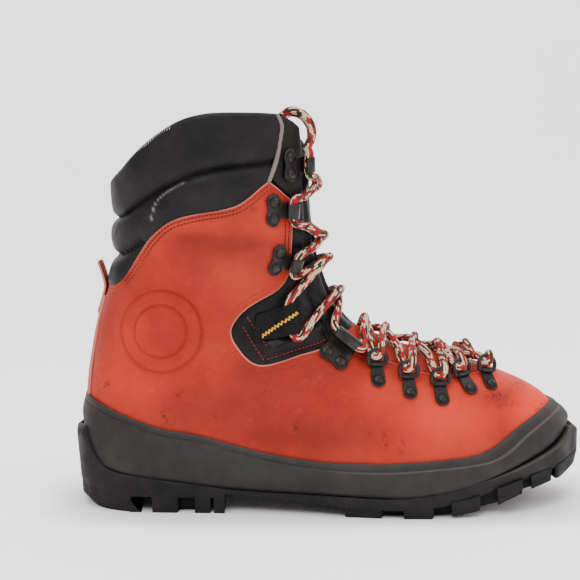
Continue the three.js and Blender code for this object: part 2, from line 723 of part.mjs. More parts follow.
// Hooks: middle of the two rivets and a point in front of it, in side view.
const hookSeats = [
  { name: "hook_3", at: [124.1, 149.5], to: [134, 147.5], leaf: hookLeaf },
  { name: "hook_2", at: [121.9, 178.8], to: [132, 178.8], leaf: hookLeaf },
  { name: "hook_1", at: [131.2, 204.8], to: [139, 205.4], leaf: hookLeaf },
];
const hookReach = 10;
const fittingLift = 2 * gap;
const hookCore = laceDiameter / 2 + 0.6;

function hookFrame({ at, to }, side) {
  return seatFrame(...at, side, to, fittingLift);
}

function makeHook(seat, side) {
  const frame = hookFrame(seat, side);
  const reach = seat.reach ?? hookReach;
  const pitch = 4.9;
  const ends = new THREE.Shape();
  ends.moveTo(reach, -seat.leaf / 2);
  ends.lineTo(reach, seat.leaf / 2);
  ends.lineTo(3.5, seat.leaf / 2 - 0.6);
  ends.lineTo(2.4, pitch + 4.1);
  ends.absarc(0, pitch, 4.7, Math.PI / 3, Math.PI);
  ends.absarc(0, -pitch, 4.7, Math.PI, (5 * Math.PI) / 3);
  ends.lineTo(3.5, -seat.leaf / 2 + 0.6);
  const blade = seated(plate(ends, hookPlate), frame);
  const rivets = [pitch, -pitch].map((y) => rivet(0, y, frame, hookPlate));
  return joined([blade, ...rivets, hookCurl(reach, seat.leaf, frame)]);
}

// The curl of a hook: its plate turns away from the boot and back over the lace.
function hookCurl(reach, leaf, frame) {
  const outside = hookCore + hookPlate;
  const arc = (radius, from, to) => Array.from({ length: 5 }, (_, k) => from + ((to - from) * k) / 4)
    .map((t) => [reach + radius * Math.cos(t), outside + radius * Math.sin(t)]);
  const outline = [
    ...arc(outside, -Math.PI / 2, Math.PI / 2),
    [reach - 4.5, 2 * outside], [reach - 4.5, 2 * outside - hookPlate],
    ...arc(hookCore, Math.PI / 2, -Math.PI / 2), [reach - 2, hookPlate], [reach - 2, 0],
  ];
  const shape = new THREE.Shape(outline.map(([a, b]) => new THREE.Vector2(a, b)));
  const geometry = new THREE.ExtrudeGeometry(shape, { depth: leaf, bevelEnabled: false });
  return seated(geometry.rotateX(Math.PI / 2).translate(0, leaf / 2, 0), frame);
}

const lockSeat = { at: [157.4, 91.4], to: [164, 99], leaf: lockLeaf, reach: 12 };

// ---------------------------------------------------------------- lace
// A run of lace lies over the tongue from one side to the other, between two places on the
// last. Where two runs cross, the second is lifted to lie on the first, and they are joined.
function run(from, to, lift) {
  const points = Array.from({ length: 9 }, (_, k) => {
    const share = k / 8;
    const s = THREE.MathUtils.lerp(from.s, to.s, share);
    const angle = THREE.MathUtils.lerp(from.angle, to.angle, share);
    const high = THREE.MathUtils.lerp(from.high, to.high, share);
    return skin(s, angle, laceDiameter / 2 + high + lift * Math.sin(Math.PI * share) ** 2);
  });
  return toSolid(tube(new THREE.CatmullRomCurve3(points), laceDiameter, laceSteps));
}

const laceSteps = 5;
const laceRise = 0.72 * laceDiameter;

// The end of a run beside a fitting: how far it stops short, and how high it lies.
function berth(x, z, side, short, high) {
  const { s, angle } = onLast(x, z, side);
  const around = skin(s, angle - side * 0.1, 0).distanceTo(skin(s, angle, 0)) / 0.1;
  return { s, angle: angle - (side * short) / around, high };
}

function ringBerth(i, side) {
  const [[x, z]] = ringSeats[i];
  return berth(x + (side > 0 ? innerRow[i] : 0), z, side, 23, 2.6);
}

function hookBerth({ at, reach = hookReach }, side) {
  return berth(...at, side, reach + 2 * hookCore + hookPlate + 1.6, 1.6);
}

function loopBerth(side) {
  return berth(...loopMouth, side, 0.68 * laceDiameter, 2.4);
}

function makeCross(first, second) {
  const under = run(first(-1), second(1), 0);
  const over = run(first(1), second(-1), laceRise);
  return under.add(over);
}

function makeToeBar() {
  return run(ringBerth(4, -1), ringBerth(4, 1), 0);
}

// The two free ends leave the top hooks upwards, go over the top of the tongue and hang inside,
// further back behind a tongue and leather thicker than drawn.
const laceRising = [[141.8, 27, 215], [144.6, 24, 221.5], [144, 21.5, 228.6], [139, 19.6, 235]];
const laceHanging = [[131.8, 18.4, 236.8], [126, 17.6, 232], [125.4, 17.2, 221], [125.8, 17, 208]];
const drawnLining = 9.2;

function makeLaceEnd(side) {
  const back = leatherWall + tonguePadding - drawnLining;
  const hanging = laceHanging.map(([x, y, z]) => [x - back, y, z + back]);
  const points = [...laceRising, ...hanging].map(([x, y, z]) => (
    new THREE.Vector3(x, side * y, z).multiply(stretch)
  ));
  return toSolid(tube(new THREE.CatmullRomCurve3(points), laceDiameter, 8));
}

// ---------------------------------------------------------------- assembly
const materials = {
  leather: { color: 0xb64834, roughness: 0.68, metalness: 0 },
  blackLeather: { color: 0x2a2829, roughness: 0.5, metalness: 0 },
  webbing: { color: 0x1d1c1c, roughness: 0.85, metalness: 0 },
  randRubber: { color: 0x423f3d, roughness: 0.75, metalness: 0 },
  treadRubber: { color: 0x2b2929, roughness: 0.8, metalness: 0 },
  blackMetal: { color: 0x302d2a, roughness: 0.42, metalness: 0.5 },
  footbed: { color: 0x55504c, roughness: 0.95, metalness: 0 },
  lace: { color: 0x9c5a4e, roughness: 0.85, metalness: 0 },
};

const boot = new THREE.Group();

function add(name, material, solid) {
  const mesh = new THREE.Mesh(toGeometry(solid), new THREE.MeshStandardMaterial(materials[material]));
  mesh.name = name;
  boot.add(mesh);
}

add("outsole", "treadRubber", makeOutsole());
add("midsole", "randRubber", makeMidsole());
add("insole", "footbed", makeInsole());
add("upper", "leather", makeUpper());
add("collar", "blackLeather", makeCollar());
add("tongue", "blackLeather", makeTongue());
add("backstay", "leather", makeBackstay());
for (const [name, side] of sides) {
  add(`facing_${name}`, "blackLeather", makeFacing(side));
  add(`gusset_${name}`, "blackLeather", makeGusset(side));
  add(`lace_loop_${name}`, "webbing", makeLaceLoop(side));
  ringSeats.forEach((_, i) => {
    add(`d_ring_${ringSeats.length - i}_${name}`, "blackMetal", makeRing(i, side));
  });
  hookSeats.forEach((seat) => add(`${seat.name}_${name}`, "blackMetal", makeHook(seat, side)));
  add(`lock_hook_${name}`, "blackMetal", makeHook(lockSeat, side));
  add(`lace_end_${name}`, "lace", makeLaceEnd(side));
}
const berths = [
  ...[4, 3, 2, 1, 0].map((i) => (side) => ringBerth(i, side)),
  (side) => hookBerth(lockSeat, side), loopBerth,
  ...hookSeats.map((seat) => (side) => hookBerth(seat, side)),
];
const crossings = berths.slice(1).map((next, i) => makeCross(berths[i], next));
add("lace_crossings", "lace", joined([makeToeBar(), ...crossings]));

const box = new THREE.Box3().setFromObject(boot);
boot.position.set(-(box.min.x + box.max.x) / 2, -(box.min.y + box.max.y) / 2, -box.min.z);

export default boot;
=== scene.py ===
import math

import bmesh
import bpy
import numpy as np
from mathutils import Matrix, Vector


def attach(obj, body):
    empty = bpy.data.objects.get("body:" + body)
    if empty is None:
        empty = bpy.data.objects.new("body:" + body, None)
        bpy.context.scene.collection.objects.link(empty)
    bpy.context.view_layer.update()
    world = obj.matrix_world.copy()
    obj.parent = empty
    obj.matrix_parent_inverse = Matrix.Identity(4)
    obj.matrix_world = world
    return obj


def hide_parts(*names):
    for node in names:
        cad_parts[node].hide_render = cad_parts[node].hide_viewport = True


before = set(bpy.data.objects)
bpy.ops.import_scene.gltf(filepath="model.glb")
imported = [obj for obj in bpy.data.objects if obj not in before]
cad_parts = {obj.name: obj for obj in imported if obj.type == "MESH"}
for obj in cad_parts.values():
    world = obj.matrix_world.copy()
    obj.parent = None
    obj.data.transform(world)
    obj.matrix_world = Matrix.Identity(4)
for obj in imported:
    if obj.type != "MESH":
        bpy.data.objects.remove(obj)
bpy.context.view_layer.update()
scene = bpy.context.scene

# Shapes are worked out in the boot's own millimetres: x from the heel, z from the floor,
# outer side of the foot at -y. SHIFT takes them to the frame.
SHIFT = np.array([-155.0, 0.381, 0.0])


def metres(p):
    return (np.asarray(p, float) + SHIFT) / 1000


# ---------------------------------------------------------------- camera
camera = bpy.data.objects.new("camera", bpy.data.cameras.new("camera"))
camera.data.lens = 80.07
camera.data.sensor_width = 36
camera.location = metres((131.74, -788.0, 209.0))
camera.rotation_euler = (math.radians(90 - 5.84), 0, 0)
scene.collection.objects.link(camera)
scene.camera = camera


# ---------------------------------------------------------------- curves
def spline(points, steps=12):
    """Uniform Catmull-Rom curve through the points."""
    p = np.asarray(points, float)
    n = len(p)
    t = np.linspace(0, n - 1, (n - 1) * steps + 1)
    i = np.minimum(t.astype(int), n - 2)
    w = (t - i)[:, None]
    a, b, c, d = p[np.maximum(i - 1, 0)], p[i], p[i + 1], p[np.minimum(i + 2, n - 1)]
    v, u = (c - a) / 2, (d - b) / 2
    return (2 * b - 2 * c + v + u) * w**3 + (-3 * b + 3 * c - 2 * v - u) * w**2 + v * w + b


def graph(points):
    """A function of x through the points."""
    line = spline(points, 16)
    return lambda x: np.interp(x, line[:, 0], line[:, 1])


def straight(places, values):
    """A function of one number that is straight between the places."""
    return lambda x: np.interp(x, places, values)


def unit(v):
    return v / np.maximum(np.linalg.norm(v, axis=-1, keepdims=True), 1e-9)


def hump(distance, width):
    """1 at no distance, falling softly to nothing."""
    return np.exp(-((distance / width) ** 2))


def lengths(line):
    """How far along a line each of its points is."""
    return np.r_[0, np.cumsum(np.linalg.norm(np.diff(line, axis=0), axis=1))]


def resample(line, count):
    """The line with evenly spaced points."""
    line = np.asarray(line, float)
    far = lengths(line)
    at = np.linspace(0, far[-1], count)
    return np.stack([np.interp(at, far, line[:, k]) for k in range(line.shape[1])], 1)


def left_of(line):
    """Unit vectors square to a plane line, to its left."""
    ahead = unit(np.gradient(line, axis=0))
    return np.stack([-ahead[:, 1], ahead[:, 0]], 1)


def shifted(line, distance):
    line = np.asarray(line, float)
    return line + distance * left_of(line)


def far_from(p, line):
    """Distance of points from an open line, in the plane of both."""
    line = np.asarray(line, float)
    best = np.full(len(p), 1e9)
    for a, b in zip(line[:-1], line[1:]):
        d = b - a
        t = np.clip(((p - a) @ d) / max(d @ d, 1e-9), 0, 1)
        best = np.minimum(best, np.hypot(*(p - a - t[:, None] * d).T))
    return best


def within(p, polygon):
    """Distance of points inside a polygon from its edge, negative outside."""
    q = np.asarray(polygon, float)
    inside = np.zeros(len(p), bool)
    for a, b in zip(q, np.roll(q, -1, axis=0)):
        crosses = (a[1] > p[:, 1]) != (b[1] > p[:, 1])
        rise = b[1] - a[1] if abs(b[1] - a[1]) > 1e-12 else 1e-12
        inside ^= crosses & (p[:, 0] < a[0] + (p[:, 1] - a[1]) * (b[0] - a[0]) / rise)
    edge = far_from(p, np.r_[q, q[:1]])
    return np.where(inside, edge, -edge)


# ---------------------------------------------------------------- the last, as in the CAD
PIVOT = (172.0, 165.0)
TOE = 130.0


def station(x, z):
    """Station along the last and reach from its turning centre, of places in side view."""
    x, z = np.broadcast_arrays(np.asarray(x, float), np.asarray(z, float))
    back, down = PIVOT[0] - x, PIVOT[1] - z
    s = np.where(x >= PIVOT[0], -back, np.where(down <= 0, -90 + down, -np.degrees(np.arctan2(back, down))))
    return s, np.where(x >= PIVOT[0], down, np.where(down <= 0, back, np.hypot(back, down)))


def in_section(s, reach):
    """Side-view place of a reach in the section at a station."""
    turn = np.radians(np.clip(-s, 0, 90))
    x = PIVOT[0] - reach * np.sin(turn) + np.maximum(s, 0)
    z = PIVOT[1] - reach * np.cos(turn) + np.maximum(-90 - s, 0)
    return x, z


def reach_of(points):
    """Reach as a function of the station, from a side-view line."""
    s, reach = station(*spline(points, 24).T)
    order = np.argsort(s)
    return lambda at: np.interp(at, s[order], reach[order])


ridge = reach_of([
    (143, 250), (143, 235), (144, 205), (145, 180), (147, 162), (150, 148), (155, 133), (163, 118),
    (174, 107), (190, 99.5), (210, 92.5), (230, 87.5), (248, 83), (264, 77), (279, 70.5), (290, 63),
    (297, 53.5), (301, 43), (302, 36)])
base = reach_of([
    (302, 36), (299, 29), (288, 25), (268, 21.5), (240, 19.5), (205, 18.5), (172, 19), (130, 20.5),
    (90, 24.5), (55, 27.5), (30, 29), (17, 33), (10.8, 42), (8.3, 56), (8.8, 71), (11, 88),
    (14.5, 107), (18, 121), (21.5, 134), (24.5, 147), (25, 160), (25, 205), (25, 235), (25, 250)])
half_width = graph([
    (-165, 47.5), (-140, 47.5), (-115, 45.5), (-90, 42.5), (-75, 40), (-60, 38), (-45, 37.5), (-30, 39),
    (-15, 42), (0, 45), (18, 48), (35, 50.5), (52, 50.5), (72, 47.5), (92, 40.5), (108, 32), (118, 23.5),
    (125, 14.5), (129, 6.5), (130, 0)])
widest_share = graph([
    (-165, 0.5), (-90, 0.5), (-70, 0.56), (-50, 0.62), (-30, 0.72), (0, 0.8), (40, 0.84), (90, 0.82),
    (118, 0.75), (130, 0.6)])
ridge_power = graph([
    (-165, 2.5), (-90, 2.45), (-45, 2.2), (0, 2.05), (60, 2.1), (110, 2.3), (130, 2.2)])
base_power = graph([
    (-165, 2.4), (-90, 2.45), (-60, 2.5), (-55, 2.6), (-50, 3.6), (-45, 5.5), (-30, 6), (0, 6), (100, 5),
    (130, 2.5)])
base_shift = graph([
    (-165, 0), (-60, 0), (-45, -0.5), (-20, -1.5), (0, -1), (40, -1.5), (60, 0), (90, 2.5), (112, 5),
    (130, 7)])
ridge_shift = graph([
    (-165, 0), (-60, 0), (-30, 2), (0, 5), (30, 8), (60, 9.5), (90, 9), (115, 7.5), (130, 7)])
arch_hollow = graph([(-70, 0), (-50, 1), (-30, 5), (-10, 6), (15, 3), (35, 0), (60, 0)])


def last_point(s, angle):
    """The last at a station and an angle round it, from the ridge at 0 to the sole at pi."""
    s, angle = np.broadcast_arrays(np.minimum(s, TOE).astype(float), np.asarray(angle, float))
    angle = (angle + np.pi) % (2 * np.pi) - np.pi
    side = np.where(angle < 0, -1.0, 1.0)
    turn = np.abs(angle)
    front = turn < np.pi / 2
    power = 2 / np.where(front, ridge_power(s), base_power(s))
    widest = widest_share(s)
    rise = np.abs(np.cos(turn)) ** power
    share = np.where(front, widest * (1 - rise), widest + (1 - widest) * rise)
    hollow = np.where(side > 0, arch_hollow(s) * share, 0)
    half = (half_width(s) - hollow) * np.maximum(np.sin(turn), 0) ** power
    lean = share * share * (3 - 2 * share)
    middle = ridge_shift(s) + (base_shift(s) - ridge_shift(s)) * lean
    x, z = in_section(s, ridge(s) + (base(s) - ridge(s)) * share)
    return np.stack([x, middle + side * half, z], -1)


def outward(s, angle):
    """Unit normal of the last."""
    s, angle = np.broadcast_arrays(np.asarray(s, float), np.asarray(angle, float))
    forward = last_point(s + 0.5, angle) - last_point(s - 0.5, angle)
    across = last_point(s, angle + 0.02) - last_point(s, angle - 0.02)
    normal = unit(np.cross(forward, across))
    x, z = in_section(s, (ridge(s) + base(s)) / 2)
    out = last_point(s, angle) - np.stack([x, ridge_shift(s), z], -1)
    normal = normal * np.where((normal * out).sum(-1) < 0, -1.0, 1.0)[..., None]
    normal[s >= TOE] = (1, 0, 0)
    return normal


def skin(s, angle, offset):
    """A place at a height over the last."""
    return last_point(s, angle) + outward(s, angle) * np.asarray(offset, float)[..., None]


def on_last(x, z, side):
    """Station and angle of places in side view, on one side of the foot."""
    s, reach = station(x, z)
    share = np.clip((reach - ridge(s)) / (base(s) - ridge(s)), 0, 1)
    widest = widest_share(s)
    front = np.arccos(np.clip(1 - share / widest, 0, 1) ** (ridge_power(s) / 2))
    back = np.pi - np.arccos(np.clip((share - widest) / (1 - widest), 0, 1) ** (base_power(s) / 2))
    return s, side * np.where(share < widest, front, back)


def laid(line, side, offset=0.0):
    """Points and normals of a side-view line laid on one side of the last."""
    line = np.asarray(line, float)
    s, angle = on_last(line[:, 0], line[:, 1], side)
    return skin(s, angle, np.broadcast_to(offset, s.shape)), outward(s, angle)


# ---------------------------------------------------------------- meshes
def grid_quads(rows, count, wrap=True, closed=False):
    """Faces of a grid of points, row by row, wrapped along each row and, if closed, from the last row on."""
    i, k = np.indices((rows if closed else rows - 1, count if wrap else count - 1))
    after, beside = (i + 1) % rows * count, (k + 1) % count
    return np.stack([i * count + k, i * count + beside, after + beside, after + k], -1).reshape(-1, 4)


def caps(rows, count):
    """The faces that close the first and the last row of a wrapped grid."""
    ring = np.arange(count)[None]
    return [ring[:, ::-1], (rows - 1) * count + ring]


def make(name, verts, faces, material, uv=None, attributes=None, second=None, smooth=38):
    """A mesh from verts in the boot's millimetres and arrays of faces. second is (material, first face, end)."""
    mesh = bpy.data.meshes.new(name)
    rows = [np.asarray(f, np.int32) for f in faces if len(f)]
    corners = np.concatenate([r.ravel() for r in rows])
    sizes = np.concatenate([np.full(len(r), r.shape[1]) for r in rows])
    mesh.vertices.add(len(verts))
    mesh.vertices.foreach_set("co", metres(verts).astype(np.float32).ravel())
    mesh.loops.add(len(corners))
    mesh.loops.foreach_set("vertex_index", corners)
    mesh.polygons.add(len(sizes))
    mesh.polygons.foreach_set("loop_start", np.r_[0, np.cumsum(sizes)[:-1]].astype(np.int32))
    mesh.polygons.foreach_set("loop_total", sizes.astype(np.int32))
    mesh.update(calc_edges=True)
    mesh.validate()
    mesh.polygons.foreach_set("use_smooth", np.ones(len(mesh.polygons), bool))
    mesh.set_sharp_from_angle(angle=math.radians(smooth))
    if uv is not None:
        mesh.uv_layers.new(name="UVMap").uv.foreach_set("vector", np.asarray(uv, np.float32).ravel())
    for key, values in (attributes or {}).items():
        mesh.attributes.new(key, "FLOAT", "POINT").data.foreach_set("value", np.asarray(values, np.float32))
    mesh.materials.append(material)
    if second is not None:
        mesh.materials.append(second[0])
        index = np.zeros(len(mesh.polygons), np.int32)
        index[second[1]:second[2]] = 1
        mesh.polygons.foreach_set("material_index", index)
    obj = bpy.data.objects.new(name, mesh)
    scene.collection.objects.link(obj)
    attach(obj, "root")
    return obj


def cut(rows, tris, column, level, both=False):
    """Cuts triangles along column == level, and keeps those above it, or all of them."""
    f = rows[:, column] - level
    f = np.where(np.abs(f) < 0.04, 0, f)
    sign = np.sign(f)[tris]
    above, below = (sign > 0).any(1), (sign < 0).any(1)
    mixed = above & below
    kept = [tris[~mixed if both else ~mixed & above]]
    pool, extra, made = {}, [], []

    def on_edge(i, j):
        key = (min(i, j), max(i, j))
        if key not in pool:
            t = f[key[0]] / (f[key[0]] - f[key[1]])
            row = rows[key[0]] + (rows[key[1]] - rows[key[0]]) * t
            row[column] = level
            pool[key] = len(rows) + len(extra)
            extra.append(row)
        return pool[key]

    for tri in tris[mixed].tolist():
        over, under = [], []
        for k in range(3):
            i, j = tri[k], tri[(k + 1) % 3]
            if f[i] >= 0:
                over.append(i)
            if f[i] <= 0:
                under.append(i)
            if f[i] * f[j] < 0:
                middle = on_edge(i, j)
                over.append(middle)
                under.append(middle)
        for ring in (over, under) if both else (over,):
            made += [(ring[0], ring[k], ring[k + 1]) for k in range(1, len(ring) - 1)]
    if extra:
        rows = np.vstack([rows, extra])
    if made:
        kept.append(np.array(made))
    return rows, np.concatenate(kept)


def trimmed(rows, tris):
    """Without the rows that no triangle uses."""
    used, inverse = np.unique(tris, return_inverse=True)
    return rows[used], inverse.reshape(tris.shape)


def border(tris):
    """Directed edges used by one triangle only."""
    edges = np.concatenate([tris[:, [0, 1]], tris[:, [1, 2]], tris[:, [2, 0]]])
    low, high = edges.min(1).astype(np.int64), edges.max(1).astype(np.int64)
    _, first, count = np.unique(low * (tris.max() + 1) + high, return_index=True, return_counts=True)
    return edges[first[count == 1]]


def grid_normals(p):
    """Normals of a grid of points that is wrapped along its rows."""
    across = np.roll(p, -1, axis=1) - np.roll(p, 1, axis=1)
    return unit(np.cross(np.gradient(p, axis=0), across))


SHAFT = np.linspace(-175, -90, 66)
ANKLE = np.linspace(-90, 0, 130)[1:]
FORE = np.linspace(0, 112, 76)[1:]
TIP = 130 - 18 * np.linspace(1, 0, 22)[1:] ** 1.8
EVERYWHERE = np.concatenate([SHAFT, ANKLE, FORE, TIP])


def around_last(stations, half):
    """Rows of a wrapped grid on the last, evenly spaced round each section."""
    t = np.linspace(0, np.pi, 241)
    parts = []
    for side in (1, -1):
        p = last_point(stations[:, None], side * t[None])
        far = np.cumsum(np.linalg.norm(np.diff(p, axis=1), axis=2), axis=1)
        far = np.c_[np.zeros(len(p)), far]
        total = np.where(far[:, -1:] > 0.5, far[:, -1:], 1.0)
        even = [np.interp(np.linspace(0, 1, half + 1), f / k, t) for f, k in zip(far, total)]
        parts.append(side * np.array(even))
    if stations[-1] >= TOE:
        parts[0][-1] = np.linspace(0, np.pi, half + 1)
        parts[1][-1] = -parts[0][-1]
    angles = np.concatenate([parts[0], parts[1][:, -2:0:-1]], axis=1)
    return angles, last_point(stations[:, None], angles), outward(stations[:, None], angles)


def patch(stations=EVERYWHERE, half=84, sector=None):
    """Rows x, y, z, nx, ny, nz, s and triangles of a grid on the last, or of a sector of it."""
    angles, p, n = around_last(stations, half)
    count = angles.shape[1]
    quads = grid_quads(len(stations), count)
    tris = np.concatenate([quads[:, [0, 1, 2]], quads[:, [0, 2, 3]]])
    rows = np.concatenate([p, n, np.broadcast_to(stations[:, None, None], p.shape[:2] + (1,))], -1)
    rows = rows.reshape(-1, 7)
    if sector is not None:
        keep = sector(rows)
        tris = tris[keep[tris].all(1)]
    normal = np.cross(rows[tris[:, 1], :3] - rows[tris[:, 0], :3],
                      rows[tris[:, 2], :3] - rows[tris[:, 0], :3])
    if (normal * rows[tris[:, 0], 3:6]).sum() < 0:
        tris = tris[:, [0, 2, 1]]
    return trimmed(rows, tris)


def rounded(distance, radius):
    """How far a surface drops beside an edge that is rounded with this radius."""
    t = np.clip(1 - distance / radius, 0, 1)
    return radius * (1 - np.sqrt(np.maximum(1 - t * t, 0)))


def panel(name, rows, tris, edge, outer, inner, material, lines=(0.35, 1.1), lining=None, extra=None,
          attributes=None):
    """A closed sheet between two heights over the last, trimmed where edge(rows) falls to nothing.

    Column 7 of its rows is that distance from the edge, and lines are where it gets rows of vertices.
    """
    rows = np.c_[rows, edge(rows)]
    rows, tris = trimmed(*cut(rows, tris, 7, 0.0))
    for level in lines:
        rows, tris = cut(rows, tris, 7, level, both=True)
    if extra is not None:
        rows, tris = extra(rows, tris)
    count = len(rows)
    high, low = outer(rows), inner(rows)
    p, n = rows[:, :3], rows[:, 3:6]
    verts = np.concatenate([p + n * high[:, None], p + n * low[:, None]])
    rim = border(tris)
    walls = np.stack([rim[:, 0], rim[:, 0] + count, rim[:, 1] + count, rim[:, 1]], -1)
    values = {"edge": np.tile(np.clip(rows[:, 7], 0, 12), 2)}
    for key, field in (attributes or {}).items():
        values[key] = np.tile(field(rows), 2)
    second = None if lining is None else (lining, len(tris), 2 * len(tris))
    return make(name, verts, [tris, tris[:, ::-1] + count, walls[:, ::-1]], material, attributes=values,
                second=second)


def swell(p, amount=0.3, scale=30.0, seed=0.0):
    """Slow, even unevenness of a hand-made surface."""
    x, y, z = (p / scale).T
    return amount * (np.sin(1.7 * x + 2.1 * z + seed) * np.sin(1.3 * y - 1.9 * x + 2 * seed)
                     + 0.6 * np.sin(3.1 * z - 1.1 * x + 3 * seed) * np.cos(2.3 * x + 1.7 * y))


def rings_along(path, ahead, radii, sides, start):
    """Circles of points along a path, each turned as little as can be from the one before."""
    turn = 2 * np.pi * np.arange(sides) / sides
    side = unit(np.cross(ahead[0], start))
    rings = []
    for centre, radius, forward in zip(path, radii, ahead):
        side = unit(side - forward * (side @ forward))
        across = np.cos(turn)[:, None] * side + np.sin(turn)[:, None] * np.cross(forward, side)
        rings.append(centre + radius * across)
    return np.concatenate(rings)


def tube(name, path, radius, material, sides=16):
    """A round tube along a path, with domed ends and texture coordinates (mm along it, turn round it)."""
    path = np.asarray(path, float)
    ahead = unit(np.gradient(path, axis=0))
    dome = np.radians([90, 60, 30])
    head = [path[0] - ahead[0] * radius * math.sin(a) for a in dome]
    tail = [path[-1] + ahead[-1] * radius * math.sin(a) for a in dome[::-1]]
    shrink = np.cos(dome)
    shrink[0] = 0.02
    radii = radius * np.r_[shrink, np.ones(len(path)), shrink[::-1]]
    path = np.concatenate([head, path, tail])
    ahead = np.concatenate([[ahead[0]] * 3, ahead, [ahead[-1]] * 3])
    verts = rings_along(path, ahead, radii, sides, (0.3, 0.2, 1.0))
    i, k = np.indices((len(path) - 1, sides))
    along = lengths(path)[np.stack([i, i, i + 1, i + 1], -1)]
    turn = np.stack([k, k + 1, k + 1, k], -1) / sides
    uv = np.concatenate([np.stack([along, turn], -1).reshape(-1, 2), np.zeros((2 * sides, 2))])
    return make(name, verts, [grid_quads(len(path), sides), *caps(len(path), sides)], material, uv=uv)


def copies(name, shape, places, material):
    """One joined mesh of a small shape (verts, quads) at many places (origin, three axes)."""
    verts, quads = shape
    all_verts = np.concatenate([o + verts @ np.stack([a, b, c]) for o, a, b, c in places])
    all_quads = np.concatenate([quads + k * len(verts) for k in range(len(places))])
    return make(name, all_verts, [all_quads], material, smooth=60)


def bead(length, wide, high, around=8, along=7):
    """A stitch: a rod whose ends sink."""
    u = np.linspace(-1, 1, along)
    t = 2 * np.pi * np.arange(around) / around
    full = np.sqrt(np.maximum(1 - np.abs(u) ** 3, 0.03))
    verts = np.stack([
        np.repeat(u * length / 2, around),
        (full[:, None] * np.cos(t)[None] * wide / 2).ravel(),
        (full[:, None] * np.sin(t)[None] * high / 2 - (u**2)[:, None] * high * 0.6).ravel()], -1)
    return verts, grid_quads(along, around)


def stitched(name, rows, material, pitch, length, wide, high, slant=0.0):
    """Stitches along rows of (points, normals) that lie on a surface."""
    places = []
    for points, normals in rows:
        far = lengths(points)
        at = np.arange(pitch / 2, far[-1], pitch)
        spots = np.stack([np.interp(at, far, points[:, k]) for k in range(3)], 1)
        ups = unit(np.stack([np.interp(at, far, normals[:, k]) for k in range(3)], 1))
        ahead = np.stack([np.interp(at + 0.5, far, points[:, k]) - np.interp(at - 0.5, far, points[:, k])
                          for k in range(3)], 1)
        ahead = unit(ahead - ups * (ahead * ups).sum(1)[:, None])
        side = np.cross(ups, ahead)
        ahead, side = (ahead * math.cos(slant) + side * math.sin(slant),
                       side * math.cos(slant) - ahead * math.sin(slant))
        places += list(zip(spots, ahead, side, ups))
    return copies(name, bead(length, wide, high), places, material)


# ---------------------------------------------------------------- materials
def rgb(r, g, b):
    """A colour of 0-255 as the shader's linear one."""
    c = np.array([r, g, b]) / 255
    return (*np.where(c <= 0.04045, c / 12.92, ((c + 0.055) / 1.055) ** 2.4), 1.0)


class Shade:
    """A material and short words for its nodes."""

    def __init__(self, name, **fixed):
        self.material = bpy.data.materials.new(name)
        self.material.use_nodes = True
        self.tree = self.material.node_tree
        self.shader = self.tree.nodes["Principled BSDF"]
        for key, value in fixed.items():
            self.shader.inputs[key.replace("_", " ")].default_value = value
        self.place = self.node("ShaderNodeTexCoord").outputs["Object"]

    def node(self, kind, **settings):
        n = self.tree.nodes.new(kind)
        for key, value in settings.items():
            setattr(n, key, value)
        return n

    def link(self, a, b):
        if isinstance(a, (int, float, tuple)):
            b.default_value = a
        else:
            self.tree.links.new(a, b)

    def noise(self, scale, detail=3.0, rough=0.55, distortion=0.0):
        n = self.node("ShaderNodeTexNoise")
        self.link(self.place, n.inputs["Vector"])
        for key, value in (("Scale", scale), ("Detail", detail), ("Roughness", rough),
                           ("Distortion", distortion)):
            n.inputs[key].default_value = value
        return n.outputs["Fac"]

    def cells(self, scale):
        n = self.node("ShaderNodeTexVoronoi", feature="F1")
        self.link(self.place, n.inputs["Vector"])
        n.inputs["Scale"].default_value = scale
        return n.outputs["Distance"]

    def attribute(self, name):
        return self.node("ShaderNodeAttribute", attribute_name=name).outputs["Fac"]

    def math(self, operation, a, b=0.0, c=0.0):
        n = self.node("ShaderNodeMath", operation=operation)
        for value, socket in zip((a, b, c), n.inputs):
            self.link(value, socket)
        return n.outputs[0]

    def ramp(self, value, low, high, start=0.0, end=1.0):
        """value from low..high to start..end, smoothly and clamped."""
        n = self.node("ShaderNodeMapRange", interpolation_type="SMOOTHSTEP")
        for socket, v in zip(n.inputs, (value, low, high, start, end)):
            self.link(v, socket)
        return n.outputs[0]

    def mix(self, factor, a, b):
        n = self.node("ShaderNodeMix", data_type="RGBA")
        for key, value in ((0, factor), (6, a), (7, b)):
            self.link(value, n.inputs[key])
        return n.outputs[2]

    def bump(self, height, distance, strength=1.0, onto=None):
        n = self.node("ShaderNodeBump")
        n.inputs["Distance"].default_value = distance
        n.inputs["Strength"].default_value = strength
        self.link(height, n.inputs["Height"])
        if onto is not None:
            self.link(onto, n.inputs["Normal"])
        return n.outputs["Normal"]

    def finish(self, colour=None, rough=None, normal=None):
        for value, key in ((colour, "Base Color"), (rough, "Roughness"), (normal, "Normal")):
            if value is not None:
                self.link(value, self.shader.inputs[key])
        return self.material


